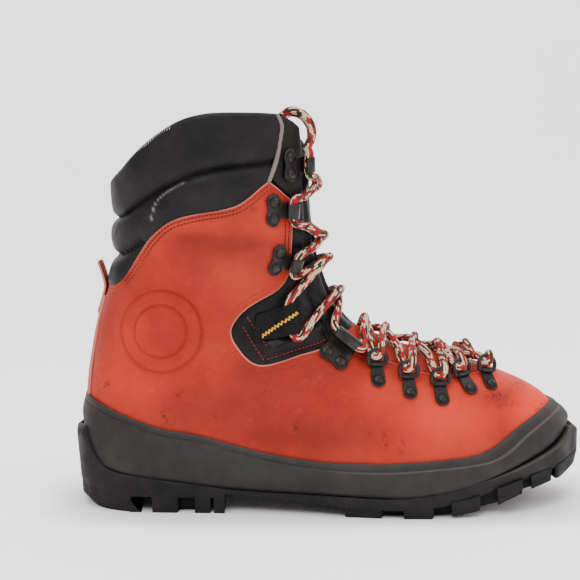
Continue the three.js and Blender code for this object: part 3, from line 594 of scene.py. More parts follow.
def red_leather(name):
    m = Shade(name, Specular_IOR_Level=0.14)
    colour = m.mix(m.ramp(m.noise(14, 4, 0.6), 0.35, 0.68), rgb(134, 34, 22), rgb(158, 46, 31))
    colour = m.mix(m.ramp(m.noise(160, 4, 0.7), 0.52, 0.8, 0, 0.25), colour, rgb(176, 68, 50))
    # The light attribute mixes in a brighter red: painted highlight, strongest on the toe.
    colour = m.mix(m.attribute("light"), colour, rgb(230, 62, 43))
    # The dark attribute mixes in a darker red: painted shade on the upper.
    colour = m.mix(m.attribute("dark"), colour, rgb(74, 22, 16))
    marks = m.math("MULTIPLY", m.attribute("worn"), m.ramp(m.noise(330, 5, 0.75), 0.47, 0.57))
    colour = m.mix(marks, colour, rgb(66, 26, 21))
    raw = m.ramp(m.attribute("edge"), 1.2, 0.5)
    colour = m.mix(raw, colour, rgb(186, 112, 96))
    normal = m.bump(m.cells(1500), 0.00016, 0.4)
    normal = m.bump(m.noise(700, 5, 0.6), 0.0004, 0.3, normal)
    normal = m.bump(m.noise(90, 3, 0.5), 0.001, 0.3, normal)
    return m.finish(colour, m.ramp(m.noise(60, 4, 0.6), 0.3, 0.75, 0.55, 0.72), normal)


def black_leather(name, low, high, grain=900, depth=0.0003, rough=(0.4, 0.6)):
    m = Shade(name, Specular_IOR_Level=0.14)
    colour = m.mix(m.ramp(m.noise(40, 4, 0.6), 0.35, 0.7), low, high)
    colour = m.mix(m.ramp(m.noise(300, 5, 0.75), 0.62, 0.8, 0, 0.12), colour, rgb(96, 90, 88))
    colour = m.mix(m.attribute("red"), colour, rgb(150, 44, 29))
    scratch = m.math("MULTIPLY", m.attribute("worn"), m.ramp(m.noise(500, 6, 0.8, 1.2), 0.4, 0.52))
    colour = m.mix(scratch, colour, rgb(168, 162, 160))
    normal = m.bump(m.cells(grain), depth, 0.5)
    normal = m.bump(m.noise(160, 4, 0.6), 0.001, 0.35, normal)
    return m.finish(colour, m.ramp(m.noise(120, 4), 0.3, 0.7, *rough), normal)


def rubber(name, low, high, pale, fine=1400):
    m = Shade(name, Specular_IOR_Level=0.16)
    colour = m.mix(m.ramp(m.noise(30, 4, 0.6), 0.35, 0.7), low, high)
    colour = m.mix(m.ramp(m.noise(260, 5, 0.7), 0.56, 0.8, 0, 0.14), colour, pale)
    # worn pales the rubber: wear, and on the rand also a painted highlight line.
    colour = m.mix(m.attribute("worn"), colour, pale)
    normal = m.bump(m.noise(fine, 3, 0.6), 0.0003, 0.4)
    normal = m.bump(m.noise(120, 4, 0.55), 0.0008, 0.25, normal)
    return m.finish(colour, m.ramp(m.noise(90, 4), 0.3, 0.7, 0.55, 0.8), normal)


def cloth(name, low, high, threads=1500):
    m = Shade(name, Specular_IOR_Level=0.2)
    warp = m.node("ShaderNodeTexWave", bands_direction="X")
    weft = m.node("ShaderNodeTexWave", bands_direction="Z")
    for wave in (warp, weft):
        m.link(m.place, wave.inputs["Vector"])
        wave.inputs["Scale"].default_value = threads / 6.3
        wave.inputs["Distortion"].default_value = 0.6
    weave = m.math("MULTIPLY", warp.outputs["Fac"], weft.outputs["Fac"])
    colour = m.mix(m.ramp(weave, 0.1, 0.7), low, high)
    return m.finish(colour, 0.9, m.bump(weave, 0.0003, 0.6))


def thread(name, low, high):
    m = Shade(name, Specular_IOR_Level=0.25)
    colour = m.mix(m.ramp(m.noise(900, 3), 0.35, 0.65), low, high)
    return m.finish(colour, 0.7, m.bump(m.noise(3000, 2), 0.0002, 0.5))


def dark_metal(name):
    m = Shade(name, Metallic=0.4, Specular_IOR_Level=0.35)
    colour = m.mix(m.ramp(m.noise(160, 4, 0.6), 0.58, 0.8, 0, 0.6), rgb(30, 27, 26), rgb(88, 80, 76))
    normal = m.bump(m.noise(400, 3, 0.6), 0.0001, 0.3)
    return m.finish(colour, m.ramp(m.noise(200, 3), 0.3, 0.7, 0.3, 0.45), normal)


def braided(name):
    """Round lace: twelve rows of lengthwise strands, each a chain of red, cream and dark dashes."""
    m = Shade(name, Specular_IOR_Level=0.2)
    parts = m.node("ShaderNodeSeparateXYZ")
    m.link(m.node("ShaderNodeUVMap", uv_map="UVMap").outputs["UV"], parts.inputs[0])
    along, turn = parts.outputs[0], parts.outputs[1]
    strands = 12.0
    twist = m.math("MULTIPLY_ADD", along, 0.12, 100 * strands)
    around = m.math("MODULO", m.math("MULTIPLY_ADD", turn, strands, twist), strands)
    strand = m.math("FLOOR", around)
    chain = m.math("MULTIPLY_ADD", along, 0.27, m.math("MULTIPLY_ADD", strand, 0.382, 50.0))
    dash = m.node("ShaderNodeCombineXYZ")
    m.link(strand, dash.inputs[0])
    m.link(m.math("FLOOR", chain), dash.inputs[1])
    pick = m.node("ShaderNodeTexWhiteNoise", noise_dimensions="3D")
    m.link(dash.outputs[0], pick.inputs["Vector"])
    value = pick.outputs["Value"]
    colour = m.mix(m.ramp(value, 0.42, 0.425), rgb(160, 26, 34), rgb(204, 190, 158))
    colour = m.mix(m.ramp(value, 0.8, 0.805), colour, rgb(46, 42, 26))
    ridge_high = m.math("SINE", m.math("MULTIPLY", m.math("FRACT", around), math.pi))
    ends = m.math("SINE", m.math("MULTIPLY", m.math("FRACT", chain), math.pi))
    relief = m.math("MULTIPLY", ridge_high, m.math("POWER", ends, 0.3))
    # Darker in the grooves between strands and between dashes: painted shade.
    colour = m.mix(m.ramp(relief, 0.05, 0.5), rgb(44, 24, 22), colour)
    return m.finish(colour, 0.8, m.bump(relief, 0.0005, 0.8))


LEATHER = red_leather("red_nubuck")
LINING = cloth("grey_lining", rgb(34, 32, 32), rgb(60, 57, 56), 2200)
COLLAR = black_leather("collar_black", rgb(14, 13, 15), rgb(27, 24, 24), 1300, 0.0002, (0.4, 0.58))
TONGUE = black_leather("tongue_black", rgb(12, 11, 12), rgb(24, 21, 22), 800, 0.0004, (0.34, 0.52))
FACING = black_leather("facing_black", rgb(12, 11, 10), rgb(25, 22, 21), 700, 0.0004, (0.42, 0.6))
GUSSET = black_leather("gusset_black", rgb(13, 12, 12), rgb(25, 21, 21), 800, 0.0003, (0.28, 0.45))
RAND = rubber("rand_rubber", rgb(37, 35, 35), rgb(47, 44, 43), rgb(80, 72, 69))
# The tread rubber is darker than the rand's: painted shade under the boot.
SHADED_TREAD = rubber("tread_rubber", rgb(20, 19, 19), rgb(29, 27, 27), rgb(78, 73, 71))
FOOTBED = cloth("footbed_grey", rgb(56, 52, 50), rgb(86, 81, 77), 1800)
WEBBING = cloth("black_webbing", rgb(10, 9, 9), rgb(26, 24, 24), 1500)
FELT = cloth("grey_felt", rgb(96, 88, 86), rgb(140, 130, 127), 2600)
METAL = dark_metal("black_metal")
LACE = braided("lace_braid")
DARK_THREAD = thread("dark_thread", rgb(38, 14, 12), rgb(66, 24, 20))
RED_THREAD = thread("red_thread", rgb(96, 22, 18), rgb(134, 40, 30))
YELLOW_THREAD = thread("yellow_thread", rgb(166, 122, 22), rgb(212, 164, 44))
PALE_THREAD = thread("pale_thread", rgb(140, 134, 130), rgb(196, 190, 186))

# ---------------------------------------------------------------- lace ends, the free cords
LACE_WIDE = 5.0
LACE_END = [(141.8, 27, 215), (144.6, 24, 221.5), (144, 21.5, 228.6), (139, 19.6, 235),
            (131.8, 18.4, 236.8), (126, 17.6, 232), (125.4, 17.2, 221), (125.8, 17, 208)]
for word, side in (("outer", -1), ("inner", 1)):
    line = resample(spline([(x, side * y, z) for x, y, z in LACE_END], 12), 60)
    end = tube(f"lace_end_cord_{word}", line, LACE_WIDE / 2, LACE)
    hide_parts(f"lace_end_{word}")

# ---------------------------------------------------------------- outlines in side view
LEATHER_TOP = spline([
    (-20, 133.5), (20, 133.5), (29.2, 136), (36.3, 143.5), (43.6, 154.3), (49.4, 162.5), (58.5, 170.8),
    (67.3, 174.8), (80.2, 177.8), (90.9, 179.4), (100.5, 181.8), (107.9, 186.6), (114.3, 192),
    (119.6, 196)], 6)
LEATHER_FRONT = np.array([(125.9, 191.2), (132.5, 185.2), (134.1, 181), (133.7, 162.8), (132.9, 143.8)],
                         float)
NOTCH = spline([
    (132.9, 143.8), (129.7, 136), (123.2, 129.8), (110.7, 123.1), (103, 117.2), (97.9, 109.7),
    (97.9, 103.6), (101.6, 97.3), (106.5, 91.4), (112.3, 88), (118.7, 87.9), (127.6, 90.3), (138.5, 93.8),
    (147.7, 96.1), (156.2, 99.4)], 4)
RIM = spline([
    (-20, 190), (18, 191), (25, 195), (31.7, 200.9), (40, 209), (49.5, 217.7), (66.1, 228.3), (80.9, 232.9),
    (95.6, 234), (123.4, 233.7), (130.5, 232.3), (137.5, 227.6), (143.5, 219), (147.5, 208)], 6)
STRIP = np.array([(119.6, 196), (120.8, 199), (124.2, 213.7), (126.5, 226.3), (124.8, 240)], float)
OPENING = np.r_[LEATHER_TOP, LEATHER_FRONT, NOTCH[1:], [(166, 118), (166, 260), (-20, 262)]]
OVER_RIM = np.r_[RIM, [(170, 262), (-20, 262)]]
THROAT = np.r_[
    spline([(150, -29), (158, -25.5), (171, -20.5), (199.5, -20.5), (216, -21), (231, -17.5), (245, -10.5)],
           4),
    spline([(245, -10.5), (251.5, -3), (254, 6), (251.5, 15.5), (238, 25)], 5)[1:-1],
    spline([(238, 25), (224, 31.5), (209, 35.5), (192, 35.5), (171, 32), (158, 34), (150, 35)], 4)]
SEAM = graph([
    (5.8, 49.5), (8.5, 42), (12.2, 33.5), (18.5, 26.2), (27, 23.4), (44.6, 20.7), (66.9, 18.1), (97.4, 14.4),
    (128, 12.8), (163, 12), (193, 11.5), (213, 13), (233.6, 16.9), (249.4, 21.5), (266, 27.5), (284.8, 34),
    (296, 38.5), (305.2, 44.6)])
RAND_TOP = graph([
    (4, 68.5), (15.4, 64.2), (25.7, 60.4), (38.4, 55.6), (56.8, 49.7), (77.2, 46.2), (97.6, 41), (118, 36.1),
    (138.2, 32.9), (155.2, 31.2), (183.8, 30.8), (213.5, 33.4), (234, 35), (244.4, 36.8), (255.2, 41.5),
    (266.9, 48.9), (279.1, 55.1), (291.3, 60.2), (300, 63)])


def side_view(rows):
    return rows[:, [0, 2]]


def plan_view(rows):
    return rows[:, :2]


def everywhere(value):
    """The same value on every row."""
    return lambda rows: np.full(len(rows), value)


# ---------------------------------------------------------------- upper
# Creases and folds of the leather, in side view: line, depth in mm (a ridge below nothing),
# width, and the side of the foot (0 for both).
CREASES = [
    ([(134, 96), (122, 86), (108, 80), (94, 80)], 0.9, 3.2, 0),
    ([(150, 93), (138, 82), (122, 73), (104, 70)], 0.8, 4.0, 0),
    ([(176, 88), (166, 74), (156, 62), (150, 50)], 0.9, 4.5, -1),
    ([(196, 80), (188, 66), (184, 52), (183, 42)], 0.6, 4.0, -1),
    ([(222, 74), (214, 62), (211, 50), (212, 42)], 0.7, 3.6, 0),
    ([(238, 72), (233, 60), (231, 48), (232, 40)], 0.6, 3.2, 0),
    ([(100, 128), (84, 122), (70, 124), (58, 132)], 0.7, 4.5, 0),
    ([(128, 160), (114, 158), (100, 162), (88, 168)], 0.5, 4.0, 0),
    ([(22, 110), (34, 98), (40, 84), (40, 70)], 0.6, 5.0, 0),
    ([(88, 146), (70, 142), (52, 140)], -0.8, 9.0, 0),
]
MEDAL = (55.5, 107.5)
MEDAL_RINGS = ((26, 0.9, 0.8), (24.3, 0.8, -0.9), (15.7, 0.7, -0.75), (14.4, 0.8, 0.65))
SEWN = (2.4, 4.5)
SCRATCH = spline([(51.7, 172.8), (54, 182), (58.7, 188), (66.3, 192.7), (71, 195)], 6)


def relief(rows):
    p, side = side_view(rows), np.where(rows[:, 4] < 0, -1, 1)
    deep = np.zeros(len(rows))
    for line, depth, width, which in CREASES:
        away = far_from(p, spline(line, 6))
        deep -= np.where((which == 0) | (side == which), depth, 0.25 * depth) * hump(away, width)
    away = np.hypot(p[:, 0] - MEDAL[0], p[:, 1] - MEDAL[1])
    rings = sum(h * hump(away - r, w) for r, w, h in MEDAL_RINGS)
    deep += rings - 0.25 * np.clip((27 - away) / 4, 0, 1)
    for at in SEWN:
        deep -= 0.4 * hump(rows[:, 7] - at, 0.5)
    return deep + swell(rows[:, :3], 0.22, 26, 0.7)


def upper_edge(rows):
    opening = -within(side_view(rows), OPENING)
    throat = np.where(rows[:, 2] > 60, -within(plan_view(rows), THROAT), 99)
    return np.minimum(opening, throat)


def medal_lines(rows, tris):
    """Rows of vertices along the rings of the medallion."""
    rows = np.c_[rows, np.hypot(rows[:, 0] - MEDAL[0], rows[:, 2] - MEDAL[1])]
    for level in (13.6, 14.4, 15.1, 15.8, 16.5, 23.6, 24.3, 25.1, 26.0, 26.9):
        rows, tris = cut(rows, tris, 8, level, both=True)
    return rows, tris


def mark(rows, line, width, side, much=1.0):
    """A soft mark along a side-view line, on one side of the foot."""
    near = much * hump(far_from(side_view(rows), line), width)
    return np.where(np.sign(rows[:, 4]) == side, near, 0)


def spots(rows, places):
    """Soft spots (x, z, half length, half height, strength) in side view, on the outer side first."""
    p = side_view(rows)
    total = np.zeros(len(rows))
    for x, z, wide, high, much, which in places:
        here = much * np.exp(-(((p[:, 0] - x) / wide) ** 2) - ((p[:, 1] - z) / high) ** 2)
        total = np.maximum(total, np.where((which == 0) | (np.sign(rows[:, 4]) == which), here, 0.35 * here))
    return np.clip(total, 0, 1)


# Painted highlights on the upper: soft brighter spots, strongest on the toe.
PAINTED_HIGHLIGHTS = [(286, 62, 26, 22, 0.8, 0), (262, 76, 26, 10, 0.6, 0), (24, 84, 16, 30, 0.2, 0),
         (225, 58, 34, 20, 0.5, 0), (70, 170, 24, 5, 0.2, 0), (190, 70, 22, 14, 0.3, 0),
         (120, 172, 10, 12, 0.25, 0), (45, 76, 20, 12, 0.2, 0)]
# Painted shade on the upper: soft darker spots and bands in its folds and hollows.
PAINTED_SHADES = [(150, 46, 60, 9, 0.3, 0), (96, 62, 30, 12, 0.2, 0), (106, 86, 12, 8, 0.25, 0),
        (100, 158.5, 24, 7, 0.5, 0), (76, 162, 12, 5, 0.35, 0), (114, 152, 8, 8, 0.3, 0),
        (258, 47, 10, 8, 0.2, 0), (20, 118, 8, 20, 0.2, 0), (30, 140, 12, 6, 0.3, 0),
        (257, 66, 10, 4, 0.3, -1), (110.4, 179.5, 2, 2, 0.5, -1)]
WORN = [(22, 74, 2.6, 2.6, 0.8, -1), (25, 67, 2, 1.4, 0.7, -1), (65, 70, 3.5, 1.6, 0.9, -1),
        (57.6, 58, 3, 4.5, 0.9, -1), (62, 54, 2, 5, 0.7, -1), (87, 57, 2.4, 3, 0.5, -1),
        (135.8, 50.8, 1.6, 4, 0.7, -1), (130.6, 61, 1.6, 1.6, 0.6, -1), (187.5, 44.7, 1.4, 4.5, 0.8, -1),
        (197.1, 41.5, 1.4, 4.5, 0.9, -1), (179, 48, 1.4, 1.4, 0.7, -1), (256, 67, 7, 2.2, 0.8, -1),
        (262, 62, 8, 2.5, 0.5, -1), (270, 72, 12, 3, 0.35, 0), (286, 58, 8, 4, 0.4, 0),
        (16, 90, 5, 18, 0.3, 0), (150, 70, 60, 20, 0.12, -1)]

rows, tris = patch()
upper = panel(
    "upper_leather", rows, tris, lambda r: np.minimum(upper_edge(r), r[:, 2] - (RAND_TOP(r[:, 0]) - 8)),
    lambda r: relief(r) - rounded(r[:, 7], 1.3), lambda r: -3.2 + rounded(r[:, 7], 1.3), LEATHER,
    lines=(0.35, 1.0, 1.9, 2.4, 2.9, 4.0, 4.5, 5.0), lining=LINING, extra=medal_lines,
    attributes={"light": lambda r: spots(r, PAINTED_HIGHLIGHTS), "dark": lambda r: spots(r, PAINTED_SHADES),
                "worn": lambda r: spots(r, WORN)})
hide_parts("upper")

# Two rows of stitches along the top edge and the front, and rows on the bellows.
top_rows, bellows_rows = [], []
BELLOWS_SEAMS = ([(103.9, 110.3), (109.9, 100.2), (116.0, 90.6)],
                 [(106.4, 116.1), (114.0, 104.6), (121.4, 93.2)])
for side in (-1, 1):
    for distance in SEWN:
        top_rows.append(laid(shifted(resample(LEATHER_TOP[14:], 240), -distance), side, -0.25))
        top_rows.append(laid(shifted(resample(LEATHER_FRONT[1:], 60), -distance), side, -0.25))
    bellows_rows.append(laid(shifted(resample(NOTCH[40:-1], 60), 3.2), side, -0.5))
    for seam in BELLOWS_SEAMS:
        bellows_rows.append(laid(resample(seam, 40), side, -0.5))
stitches = stitched("top_stitches", top_rows, DARK_THREAD, pitch=2.2, length=1.8, wide=0.62, high=0.55)
stitches = stitched("bellows_stitches", bellows_rows, RED_THREAD, pitch=2.4, length=1.9, wide=0.75, high=0.7)

# ---------------------------------------------------------------- collar
COLLAR_SEAM = [
    [(14, 172.5), (25, 173.2), (33.3, 176.2), (43, 182.4), (58.9, 191.3), (74.1, 198.2), (91.1, 202.4),
     (107, 204.5), (121.8, 206.2), (128, 207)],
    [(14, 151), (27.7, 151.6), (33.5, 153.7), (44.8, 160.3)]]
COLLAR_AREA = np.r_[LEATHER_TOP, STRIP[1:], [(123, 262), (-20, 262)]]


def collar_edge(rows):
    low = within(side_view(rows), COLLAR_AREA) + 3.0
    return np.minimum(low, 1.0 - within(side_view(rows), OVER_RIM))


def collar_depths(rows):
    """How far inside the collar's lower edge and its rim."""
    p = side_view(rows)
    return np.maximum(within(p, COLLAR_AREA) + 3.0, 0), np.maximum(1.0 - within(p, OVER_RIM), 0)


def collar_outer(rows):
    p = side_view(rows)
    low, rim = collar_depths(rows)
    away = np.minimum(far_from(p, spline(COLLAR_SEAM[0], 6)), far_from(p, spline(COLLAR_SEAM[1], 6)))
    high = -3.4 + 5.3 * (1 - np.exp(-away / 2.9)) + swell(rows[:, :3], 0.35, 16, 1.9)
    return -3.6 + (high + 3.6) * (1 - np.exp(-low / 2.6)) - rounded(rim, 3.2)


def collar_inner(rows):
    low, rim = collar_depths(rows)
    return -3.7 - 5.3 * (1 - np.exp(-low / 9)) + rounded(rim, 3.2) + swell(rows[:, :3], 0.3, 14, 4.1)


rows, tris = patch(np.linspace(-170, -60, 200), 116, lambda r: r[:, 2] > 125)
collar = panel(
    "collar_pad", rows, tris, collar_edge, collar_outer, collar_inner, COLLAR, lines=(0.3, 1.0, 2.2, 4.0),
    attributes={"worn": lambda r: mark(r, SCRATCH, 0.45, -1, 0.4)})
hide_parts("collar")

# Overlock stitches on the rim at the back, and the raw strip beside the facing.
FELT_LINE = spline([(119.8, 196), (123.8, 207), (126.1, 219.4), (127.0, 227.5), (124.8, 233.0)], 8)
rim_rows = []
for word, side in (("outer", -1), ("inner", 1)):
    at = RIM[(RIM[:, 0] > 41) & (RIM[:, 0] < 66)]
    rim_rows.append(laid(shifted(resample(at, 60), -1.6), side, 1.3))
    points, _ = laid(resample(FELT_LINE, 60), side, -0.3)
    strip = tube(f"felt_strip_{word}", points, 1.35, FELT, 12)
stitches = stitched("rim_overlock", rim_rows, PALE_THREAD, pitch=1.7, length=4.2, wide=0.55, high=0.55,
                    slant=1.1)

# ---------------------------------------------------------------- tongue
FLAP_SIDE = [(119, 262), (118, 150), (124, 112), (140, 95), (158, 84), (262, 58), (262, 140), (176, 262)]
FLAP_PLAN = [(90, -60), (160, -60), (160, -33), (172, -29), (218, -29), (236, -24), (251, -15), (260, -4),
             (262, 6), (259, 18), (243, 33), (226, 40), (209, 44), (172, 42), (160, 60), (90, 60)]
FILL_SIDE = [(140.5, 262), (140.5, 186), (135.4, 181), (135, 148), (147, 122), (158, 104), (166, 100),
             (166, 130), (176, 262)]
TONGUE_CHANNELS = ((8.0, 1.7, 2.3), (19.0, 1.9, 2.0))
TONGUE_ROLLS = [([(133, 136), (141, 126), (150, 119)], 2.6, 5.0),
                ([(146, 128), (154, 120), (160, 113)], 1.8, 4.0)]


def tongue_edge(rows):
    p = side_view(rows)
    flap = np.minimum(within(p, FLAP_SIDE), within(plan_view(rows), FLAP_PLAN))
    return np.minimum(flap, -within(p, OVER_RIM) - 0.2)


def tongue_fill(rows):
    fore = np.minimum(within(plan_view(rows), THROAT), rows[:, 0] - 158)
    return np.maximum(within(side_view(rows), FILL_SIDE), fore)


def tongue_outer(rows):
    p = side_view(rows)
    fill = 1 - np.exp(-np.maximum(tongue_fill(rows) + 1.0, 0) / 2.2)
    away = np.abs(rows[:, 1] - ridge_shift(rows[:, 6]))
    channels = sum(h * hump(away - at, w) for at, w, h in TONGUE_CHANNELS)
    high = -0.8 - channels * np.clip((172 - rows[:, 0]) / 10, 0, 1) + swell(rows[:, :3], 0.45, 12, 2.6)
    for line, raised, width in TONGUE_ROLLS:
        high += raised * hump(far_from(p, spline(line, 6)), width)
    rim = np.maximum(-within(p, OVER_RIM) - 0.2, 0)
    return np.minimum(-3.7 + (high + 3.7) * fill, 1.2) - rounded(rim, 3.4) - rounded(rows[:, 7], 2.0)


def tongue_red(rows):
    """The lower tongue is red leather, but for a small patch of the black."""
    patch_away = np.hypot((rows[:, 0] - 167) / 4.5, (rows[:, 2] - 112) / 5.5)
    return np.clip((rows[:, 0] - 163) / 1.2, 0, 1) * np.clip((patch_away - 1) / 0.15, 0, 1)


rows, tris = patch(np.linspace(-170, 92, 240), 110, lambda r: (r[:, 0] > 112) & (r[:, 2] > 50))
tongue = panel(
    "tongue_pad", rows, tris, tongue_edge, tongue_outer,
    lambda r: -9.6 + rounded(r[:, 7], 2.0) + swell(r[:, :3], 0.3, 13, 0.4), TONGUE, lines=(0.4, 1.2, 2.6),
    attributes={"red": tongue_red})
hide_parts("tongue")

# ---------------------------------------------------------------- facings, bellows panels
FACING_AREA = [(121.4, 197), (124.7, 213.7), (127, 226.3), (126, 236), (137, 236), (139.5, 214),
               (139.3, 187), (136, 184.5), (133.6, 185), (126.6, 191.6)]
GUSSET_AREA = np.r_[[(133.2, 143)], NOTCH[1:-1], [(156, 100.5), (146.3, 121.2), (134, 147)]]
FOLDS = [([(123, 97.5), (132, 101.5), (143, 106), (155, 111)], -2.5, 4.0),
         ([(118, 91.5), (134, 96.5), (150, 101)], 0.8, 1.6),
         ([(118, 104), (128, 109.5), (136, 116)], 0.9, 2.0),
         ([(133, 142), (131, 130), (134, 122)], 0.8, 2.5)]


# The bellows are seen in the notch, and the facing in front of the collar.
def gusset_edge(rows):
    return within(side_view(rows), GUSSET_AREA) + 2.4


def gusset_outer(rows):
    d = np.maximum(rows[:, 7], 0)
    p = side_view(rows)
    folds = sum(depth * hump(far_from(p, spline(line, 6)), width) for line, depth, width in FOLDS)
    return np.minimum(-3.35 + 2.9 * (1 - np.exp(-d / 2.0)), -0.6) - folds * np.clip(d / 3, 0, 1) - 0.2


for word, side in (("outer", -1), ("inner", 1)):
    here = (lambda r: (r[:, 0] > 92) & (r[:, 0] < 160) & (r[:, 2] > 82) & (r[:, 4] * side > 0)
            & (np.abs(r[:, 1]) > 4))
    rows, tris = patch(np.linspace(-85, -10, 150), 130, here)
    gusset = panel(f"gusset_panel_{word}", rows, tris, gusset_edge, gusset_outer,
                   lambda r: gusset_outer(r) - 1.5, GUSSET, lines=(0.5, 1.5))
    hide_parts(f"gusset_{word}")
    here = (lambda r: (r[:, 0] > 112) & (r[:, 2] > 176) & (r[:, 4] * side > 0) & (np.abs(r[:, 1]) > 4))
    rows, tris = patch(np.linspace(-165, -95, 90), 120, here)
    facing = panel(f"facing_panel_{word}", rows, tris,
                   lambda r: np.minimum(within(side_view(r), FACING_AREA), -within(side_view(r), OVER_RIM)),
                   lambda r: -0.3 - rounded(r[:, 7], 1.0) + swell(r[:, :3], 0.12, 9, 1.0),
                   lambda r: -2.4 + rounded(r[:, 7], 1.0), FACING, lines=(0.3, 0.9))
    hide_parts(f"facing_{word}")


# ---------------------------------------------------------------- insole
def bed_edge(rows):
    up = 32 + 10 * np.clip((60 - rows[:, 0]) / 60, 0, 1) + 6 * np.clip((rows[:, 0] - 250) / 50, 0, 1)
    return up - rows[:, 2]


rows, tris = patch(np.concatenate([np.linspace(-80, 0, 90), np.linspace(1, 126, 90)]), 90,
                   lambda r: r[:, 2] < 60)
insole = panel("insole_bed", rows, tris, bed_edge,
               lambda r: -7.6 + swell(r[:, :3], 0.3, 30, 0.2) - rounded(r[:, 7], 1.2), everywhere(-3.9),
               FOOTBED, lines=(0.5, 1.4))
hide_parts("insole")

# ---------------------------------------------------------------- midsole rand
OUTER_SIDE = spline([
    (0, 0), (1.2, -10), (4, -20), (12, -31), (28, -39), (50, -41.5), (75, -42.5), (105, -44), (138, -47.5),
    (170, -52.5), (200, -56), (226, -55.5), (250, -50.5), (272, -41.5), (291, -27), (303, -10), (309, 3),
    (310, 10)], 16)
INNER_SIDE = spline([
    (0, 0), (1.2, 10), (4, 20), (12, 31), (28, 38.5), (50, 40.5), (75, 39.5), (105, 37.5), (138, 40),
    (170, 46.5), (200, 53), (226, 55.5), (250, 52.5), (272, 44.5), (291, 33), (303, 21), (309, 14),
    (310, 10)], 16)
HALVES = {-1: straight(*OUTER_SIDE.T), 1: straight(*INNER_SIDE.T)}


def half_at(x, z, side, offset):
    """Half the width of the last, grown by an offset, at places in side view."""
    s, reach = station(x, z)
    at = np.minimum(s, TOE)
    share = np.clip((reach - ridge(at) + offset) / (base(at) - ridge(at) + 2 * offset), 0, 1)
    widest = widest_share(at)
    front = share < widest
    power = np.where(front, ridge_power(at), base_power(at))
    part = np.where(front, 1 - share / widest, (share - widest) / (1 - widest))
    hollow = np.where(side > 0, arch_hollow(at) * share, 0)
    half = (half_width(at) - hollow + offset) * (1 - np.clip(part, 0, 1) ** power) ** (1 / power)
    return np.where((s > TOE + offset) | (share <= 0) | (share >= 1), 0, half)


def middle_at(x, z):
    """y of the last's middle at places in side view."""
    s, reach = station(x, z)
    at = np.minimum(s, TOE)
    share = np.clip((reach - ridge(at)) / (base(at) - ridge(at)), 0, 1)
    return ridge_shift(at) + (base_shift(at) - ridge_shift(at)) * share * share * (3 - 2 * share)


def end_of(height, offset, inside, outside):
    """x where a line of this height leaves the grown last."""
    a, b = inside, outside
    for _ in range(40):
        x = (a + b) / 2
        if half_at(x, height(x), -1, offset) > 0:
            a = x
        else:
            b = x
    return a


def loop(line, n):
    """One closed loop round the foot from a function of (share along, side)."""
    w = (1 - np.cos(np.pi * np.arange(n + 1) / n)) / 2
    return np.concatenate([line(w, -1), line(w[1:-1][::-1], 1)])


def cup_seam(w, side, inset=0.6, rise=0.3):
    x = 5.8 + (305 - 5.8) * w
    y = HALVES[side](310 * w) - side * inset * np.sin(np.pi * w) ** 0.3
    y = np.where(w <= 0, 0, np.where(w >= 1, 10, y))
    return np.stack([x, y, SEAM(x) + rise], -1)


BACK, FRONT = end_of(RAND_TOP, 1.4, 60, 0), end_of(RAND_TOP, 1.4, 250, 309)


def cup_top(w, side, offset=1.4, drop=0.0):
    x = BACK + (FRONT - BACK) * w
    z = RAND_TOP(x) - drop
    half = np.where((w > 0) & (w < 1), half_at(x, z, side, offset), 0)
    return np.stack([x, middle_at(x, z) + side * half, z], -1)


def cup_between(rise, lean, swelling):
    def line(w, side):
        p, q = cup_seam(w, side), cup_top(w, side)
        point = p + (q - p) * lean
        point[:, 0] += swelling * (2 * w - 1)
        point[:, 1] += side * swelling * np.sin(np.pi * w)
        point[:, 2] = p[:, 2] + (q[:, 2] - p[:, 2]) * rise
        return point
    return line


def band(name, loops, material, attributes):
    """A closed shell of loops round the foot, the last joined to the first."""
    faces = [grid_quads(len(loops), len(loops[0]), closed=True)]
    return make(name, np.concatenate(loops), faces, material, attributes=attributes)


N = 130  # places along each side of a loop
key_loops = np.stack([loop(f, N) for f in (cup_seam, cup_between(0.35, 0.15, 2.2),
                                           cup_between(0.7, 0.5, 1.6), cup_top)])
profile = np.stack([spline(key_loops[:, k], 40) for k in range(key_loops.shape[1])], 1)
picks = np.interp(np.linspace(0, 1, 58), np.linspace(0, 1, len(profile)),
                  np.arange(len(profile))).astype(int)
cup = profile[picks]
outs = grid_normals(cup)
centre = np.array([150.0, 4.0, 0.0])
flip = np.sign((outs * (cup - centre) * (1, 1, 0)).sum(-1, keepdims=True))
outs *= np.where(flip == 0, 1, flip)
height = cup[-1:, :, 2] - cup[:, :, 2]
push = -0.6 * hump(height - 3.7, 0.45) + 0.4 * hump(height - 1.6, 1.2)
low = cup[:, :, 2] - cup[:1, :, 2]
push -= 0.9 * hump(low, 1.1)
cup = cup + outs * push[..., None]
inner_top = loop(lambda w, side: cup_top(w, side, 0.25, 0.1), N)
inner_low = loop(lambda w, side: cup_seam(w, side, 5.0, 0.5), N)
cup_loops = [*cup, inner_top, inner_low]
# The rand is paler in a band along its top edge. It has a thin paler line 4.5 mm below the top, from the middle
# forward, which is a painted highlight. It is also worn on the toe and on the heel.
worn = np.concatenate([np.clip(1 - np.abs(l[:, 2] - cup[-1, :, 2]) / 1.6, 0, 1) * 0.25
                       + 0.7 * hump(cup[-1, :, 2] - l[:, 2] - 4.5, 0.4) * np.clip((l[:, 0] - 130) / 60, 0, 1)
                       + 0.3 * np.clip((l[:, 0] - 262) / 40, 0, 1) * np.clip((l[:, 2] - 30) / 25, 0, 1)
                       + 0.6 * np.clip((16 - l[:, 0]) / 14, 0, 1) * np.clip((l[:, 2] - 50) / 14, 0, 1)
                       for l in cup_loops])
midsole = band("midsole_rand", cup_loops, RAND, {"worn": np.clip(worn, 0, 1)})
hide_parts("midsole")

